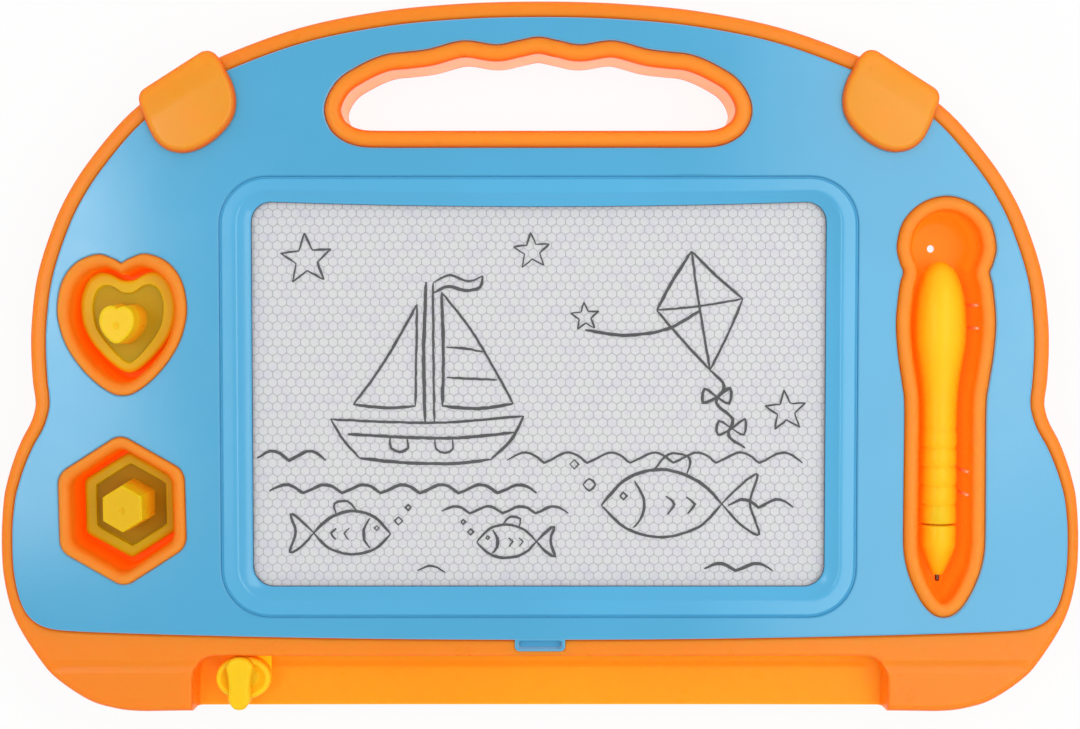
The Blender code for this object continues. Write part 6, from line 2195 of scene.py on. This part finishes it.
@dataclass
class ScrewSet:
    """The cross-headed screws of the back, the rails and the knob."""

    sides: int = 24
    cross_length: float = 0.62
    cross_width: float = 0.13
    cross_depth: float = 0.6
    rail_half: Pair = (0.058, 0.0545)

    def screw(self, name: str, low: float, head: float, height: float, shank: float, length: float) -> Piece:
        """Makes one screw that points up, with a cross recess in its head.

        Args:
            name: The piece's name.
            low: The height of the head's lowest face.
            head: The head's radius.
            height: The head's height.
            shank: The shank's radius.
            length: The shank's length.

        Returns:
            The screw on the upright axis.
        """
        seat = low + height
        tip = seat + length
        profile = [(0, tip), (shank * 0.35, tip), (shank * 0.9, tip - shank)]
        pitch = shank * 0.75
        for i in range(int((length - 2 * shank) / pitch)):
            level = tip - shank - i * pitch
            for radius, drop in ((0.78, 0.1), (1, 0.5), (0.78, 0.9)):
                profile.append((shank * radius, level - pitch * drop))
        profile += [(shank, seat + 0.0001), (head, seat)]
        for radius, rise in ((1, 0.55), (0.93, 0.25), (0.75, 0.06), (0.4, 0), (0, 0)):
            profile.append((head * radius, low + height * rise))
        screw = spun(name, profile, self.sides)
        across, along = about(0, head * self.cross_length), about(0, head * self.cross_width)
        depth = (low - 0.001, low + height * self.cross_depth)
        for i, spans in enumerate(((across, along), (along, across))):
            combine(screw, [box_shape(f"{name}_arm_{i}", *spans, depth)], Cut.REMOVE)
        return screw

    def copies(self, model: Piece, places: dict[str, Pair], body: str = "board") -> None:
        """Copies a screw to each place and removes the first one.

        Args:
            model: The screw on the upright axis.
            places: The place of each node that a copy stands for.
            body: The body that the copies move with.
        """
        for node, (x, y) in places.items():
            screw = linked(f"{node}_turned", model.data.copy())
            screw.data.name = screw.name
            activate(screw)
            screw.location = (x, y, 0)
            settle()
            dress(screw, "screw_steel", "screw_steel", node, body=body)
        bpy.data.objects.remove(model, do_unlink=True)

    def build(self) -> None:
        """Makes every screw."""
        sizes = (BOARD.screw_sink, BOARD.screw_head_radius, BOARD.screw_head_height, 0.0013)
        sides = (("left", -1), ("right", 1))
        cover = {}
        for key, (x, y) in SCREW_PLACES.items():
            cover |= {f"cover_screw_{key}_{side}": (x * sign, y) for side, sign in sides}
        bar = {node: cover.pop(node) for node in ("cover_screw_bar_left", "cover_screw_bar_right")}
        clips = {f"clip_screw_{place.side}": place.post() for place in CLIP_PLACES}
        rails = {
            f"rail_screw_{row}_{side}": (self.rail_half[0] * sign, BOARD.screen_y + self.rail_half[1] * up)
            for row, up in (("top", 1), ("bottom", -1))
            for side, sign in sides
        }
        self.copies(self.screw("body_screw", *sizes, 0.0105), cover)
        self.copies(self.screw("bar_screw", *sizes, 0.0073), bar)
        self.copies(self.screw("long_screw", *sizes, 0.0128), clips)
        self.copies(self.screw("rail_screw", 0.0143, 0.0019, 0.0008, 0.0008, 0.0028), rails)
        knob = {"slider_knob_screw": BOARD.knob_at}
        self.copies(self.screw("knob_screw", 0.0122, 0.002, 0.0008, 0.001, 0.0058), knob, "eraser")


@dataclass
class InnerParts:
    """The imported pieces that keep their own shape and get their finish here."""

    frame: dict

    def build(self) -> None:
        """Gives each inner piece its finish."""
        for name, finish in INNER_FINISHES.items():
            materials = self.frame["nodes"][name].data.materials
            materials.clear()
            materials.append(MADE[finish])
            LOG.info("%s keeps its shape", name)


@dataclass
class Studio:
    """The white table, the soft light and the camera above the board."""

    camera_y: float = 0.015
    camera_height: float = 0.52
    view_width: float = 0.2623
    view_centre_y: float = -0.00197
    plane_height: float = 0.02
    sensor: float = 36.0
    sky_low: float = 1.0
    sky_high: float = 0.62
    table_glow: float = 0.9

    def table(self) -> None:
        """Makes the white table that the board lies on."""
        table = fresh("table", bpy.ops.mesh.primitive_plane_add, size=6, location=(0, 0, -0.0002))
        nodes = Nodes(new_material("white_table"))
        nodes.fill(nodes.shader, Base_Color=(0.88, 0.88, 0.88, 1.0), Roughness=0.9)
        glow = nodes.add("ShaderNodeEmission", Strength=1.0, Color=(1, 1, 1, 1))
        rays = nodes.add("ShaderNodeLightPath").outputs
        seen = nodes.work_out("MAXIMUM", rays["Is Camera Ray"], rays["Is Glossy Ray"])
        mix = nodes.add("ShaderNodeMixShader", Fac=nodes.work_out("MULTIPLY", seen, self.table_glow))
        nodes.put(mix.inputs[1], nodes.shader.outputs["BSDF"])
        nodes.put(mix.inputs[2], glow.outputs["Emission"])
        nodes.fill(nodes.tree.nodes["Material Output"], Surface=mix.outputs["Shader"])
        table.data.materials.append(nodes.holder)

    def lamp(self, name: str, place: Place, size: Pair, power: float, turn: float) -> None:
        """Hangs a soft rectangular lamp that faces the table.

        Args:
            name: The lamp's name.
            place: Its place.
            size: Its width and height.
            power: Its power in watts.
            turn: Its turn in degrees.
        """
        light = bpy.data.lights.new(name, "AREA")
        light.shape = "RECTANGLE"
        light.size, light.size_y = size
        light.energy = power
        lamp = linked(name, light)
        lamp.location = place
        lamp.rotation_euler.z = math.radians(turn)

    def sky(self) -> None:
        """Makes a pale sky that is brighter at the horizon, as in a light tent."""
        world = bpy.data.worlds.new("studio")
        bpy.context.scene.world = world
        nodes = Nodes(world, "Background")
        height = nodes.upright("Generated")
        strength = nodes.mapped(height, From_Min=0.0, From_Max=0.8, To_Min=self.sky_low, To_Max=self.sky_high)
        nodes.fill(nodes.shader, Color=(1.0, 1.0, 1.0, 1.0), Strength=strength)

    def build(self) -> None:
        """Makes the table, the lamps, the sky and the camera."""
        self.table()
        self.lamp("left_softbox", (-0.349, 0.06, 0.8), (0.162, 0.42), 0.95, 9)
        self.lamp("left_strip", (-0.29, 0.09, 0.79), (0.05, 0.20), 0.12, 9)
        self.lamp("right_softbox", (0.39, 0.06, 0.8), (0.5, 0.75), 2.7, 0)
        self.lamp("right_strip", (0.30, 0.0, 0.79), (0.05, 0.2), 0.08, -12)
        self.sky()
        camera = bpy.data.cameras.new("camera")
        camera.sensor_width = self.sensor
        camera.lens = self.sensor * (self.camera_height - self.plane_height) / self.view_width
        camera.shift_y = (self.view_centre_y - self.camera_y) / self.view_width
        holder = linked("camera", camera)
        holder.location = (0, self.camera_y, self.camera_height)
        bpy.context.scene.camera = holder
        bpy.context.scene.view_settings.view_transform = "Standard"


def main() -> None:
    """Builds the looks of every piece, then the studio."""
    logging.basicConfig(level=logging.INFO, format="%(name)s %(message)s")
    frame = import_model()
    for finish in FINISHES:
        finish.build()
    groups = [Shells(), FacePlate(), ScreenSurround(), CarryHandle(), PenTray(), *map(StampSet, stamp_forms())]
    groups += [*map(CornerClip, CLIP_PLACES), SliderKnob(), Wiper(), Pen(), Screen(), ScrewSet(), InnerParts(frame)]
    for group in [*groups, Studio()]:
        group.build()


if __name__ == "__main__":
    main()
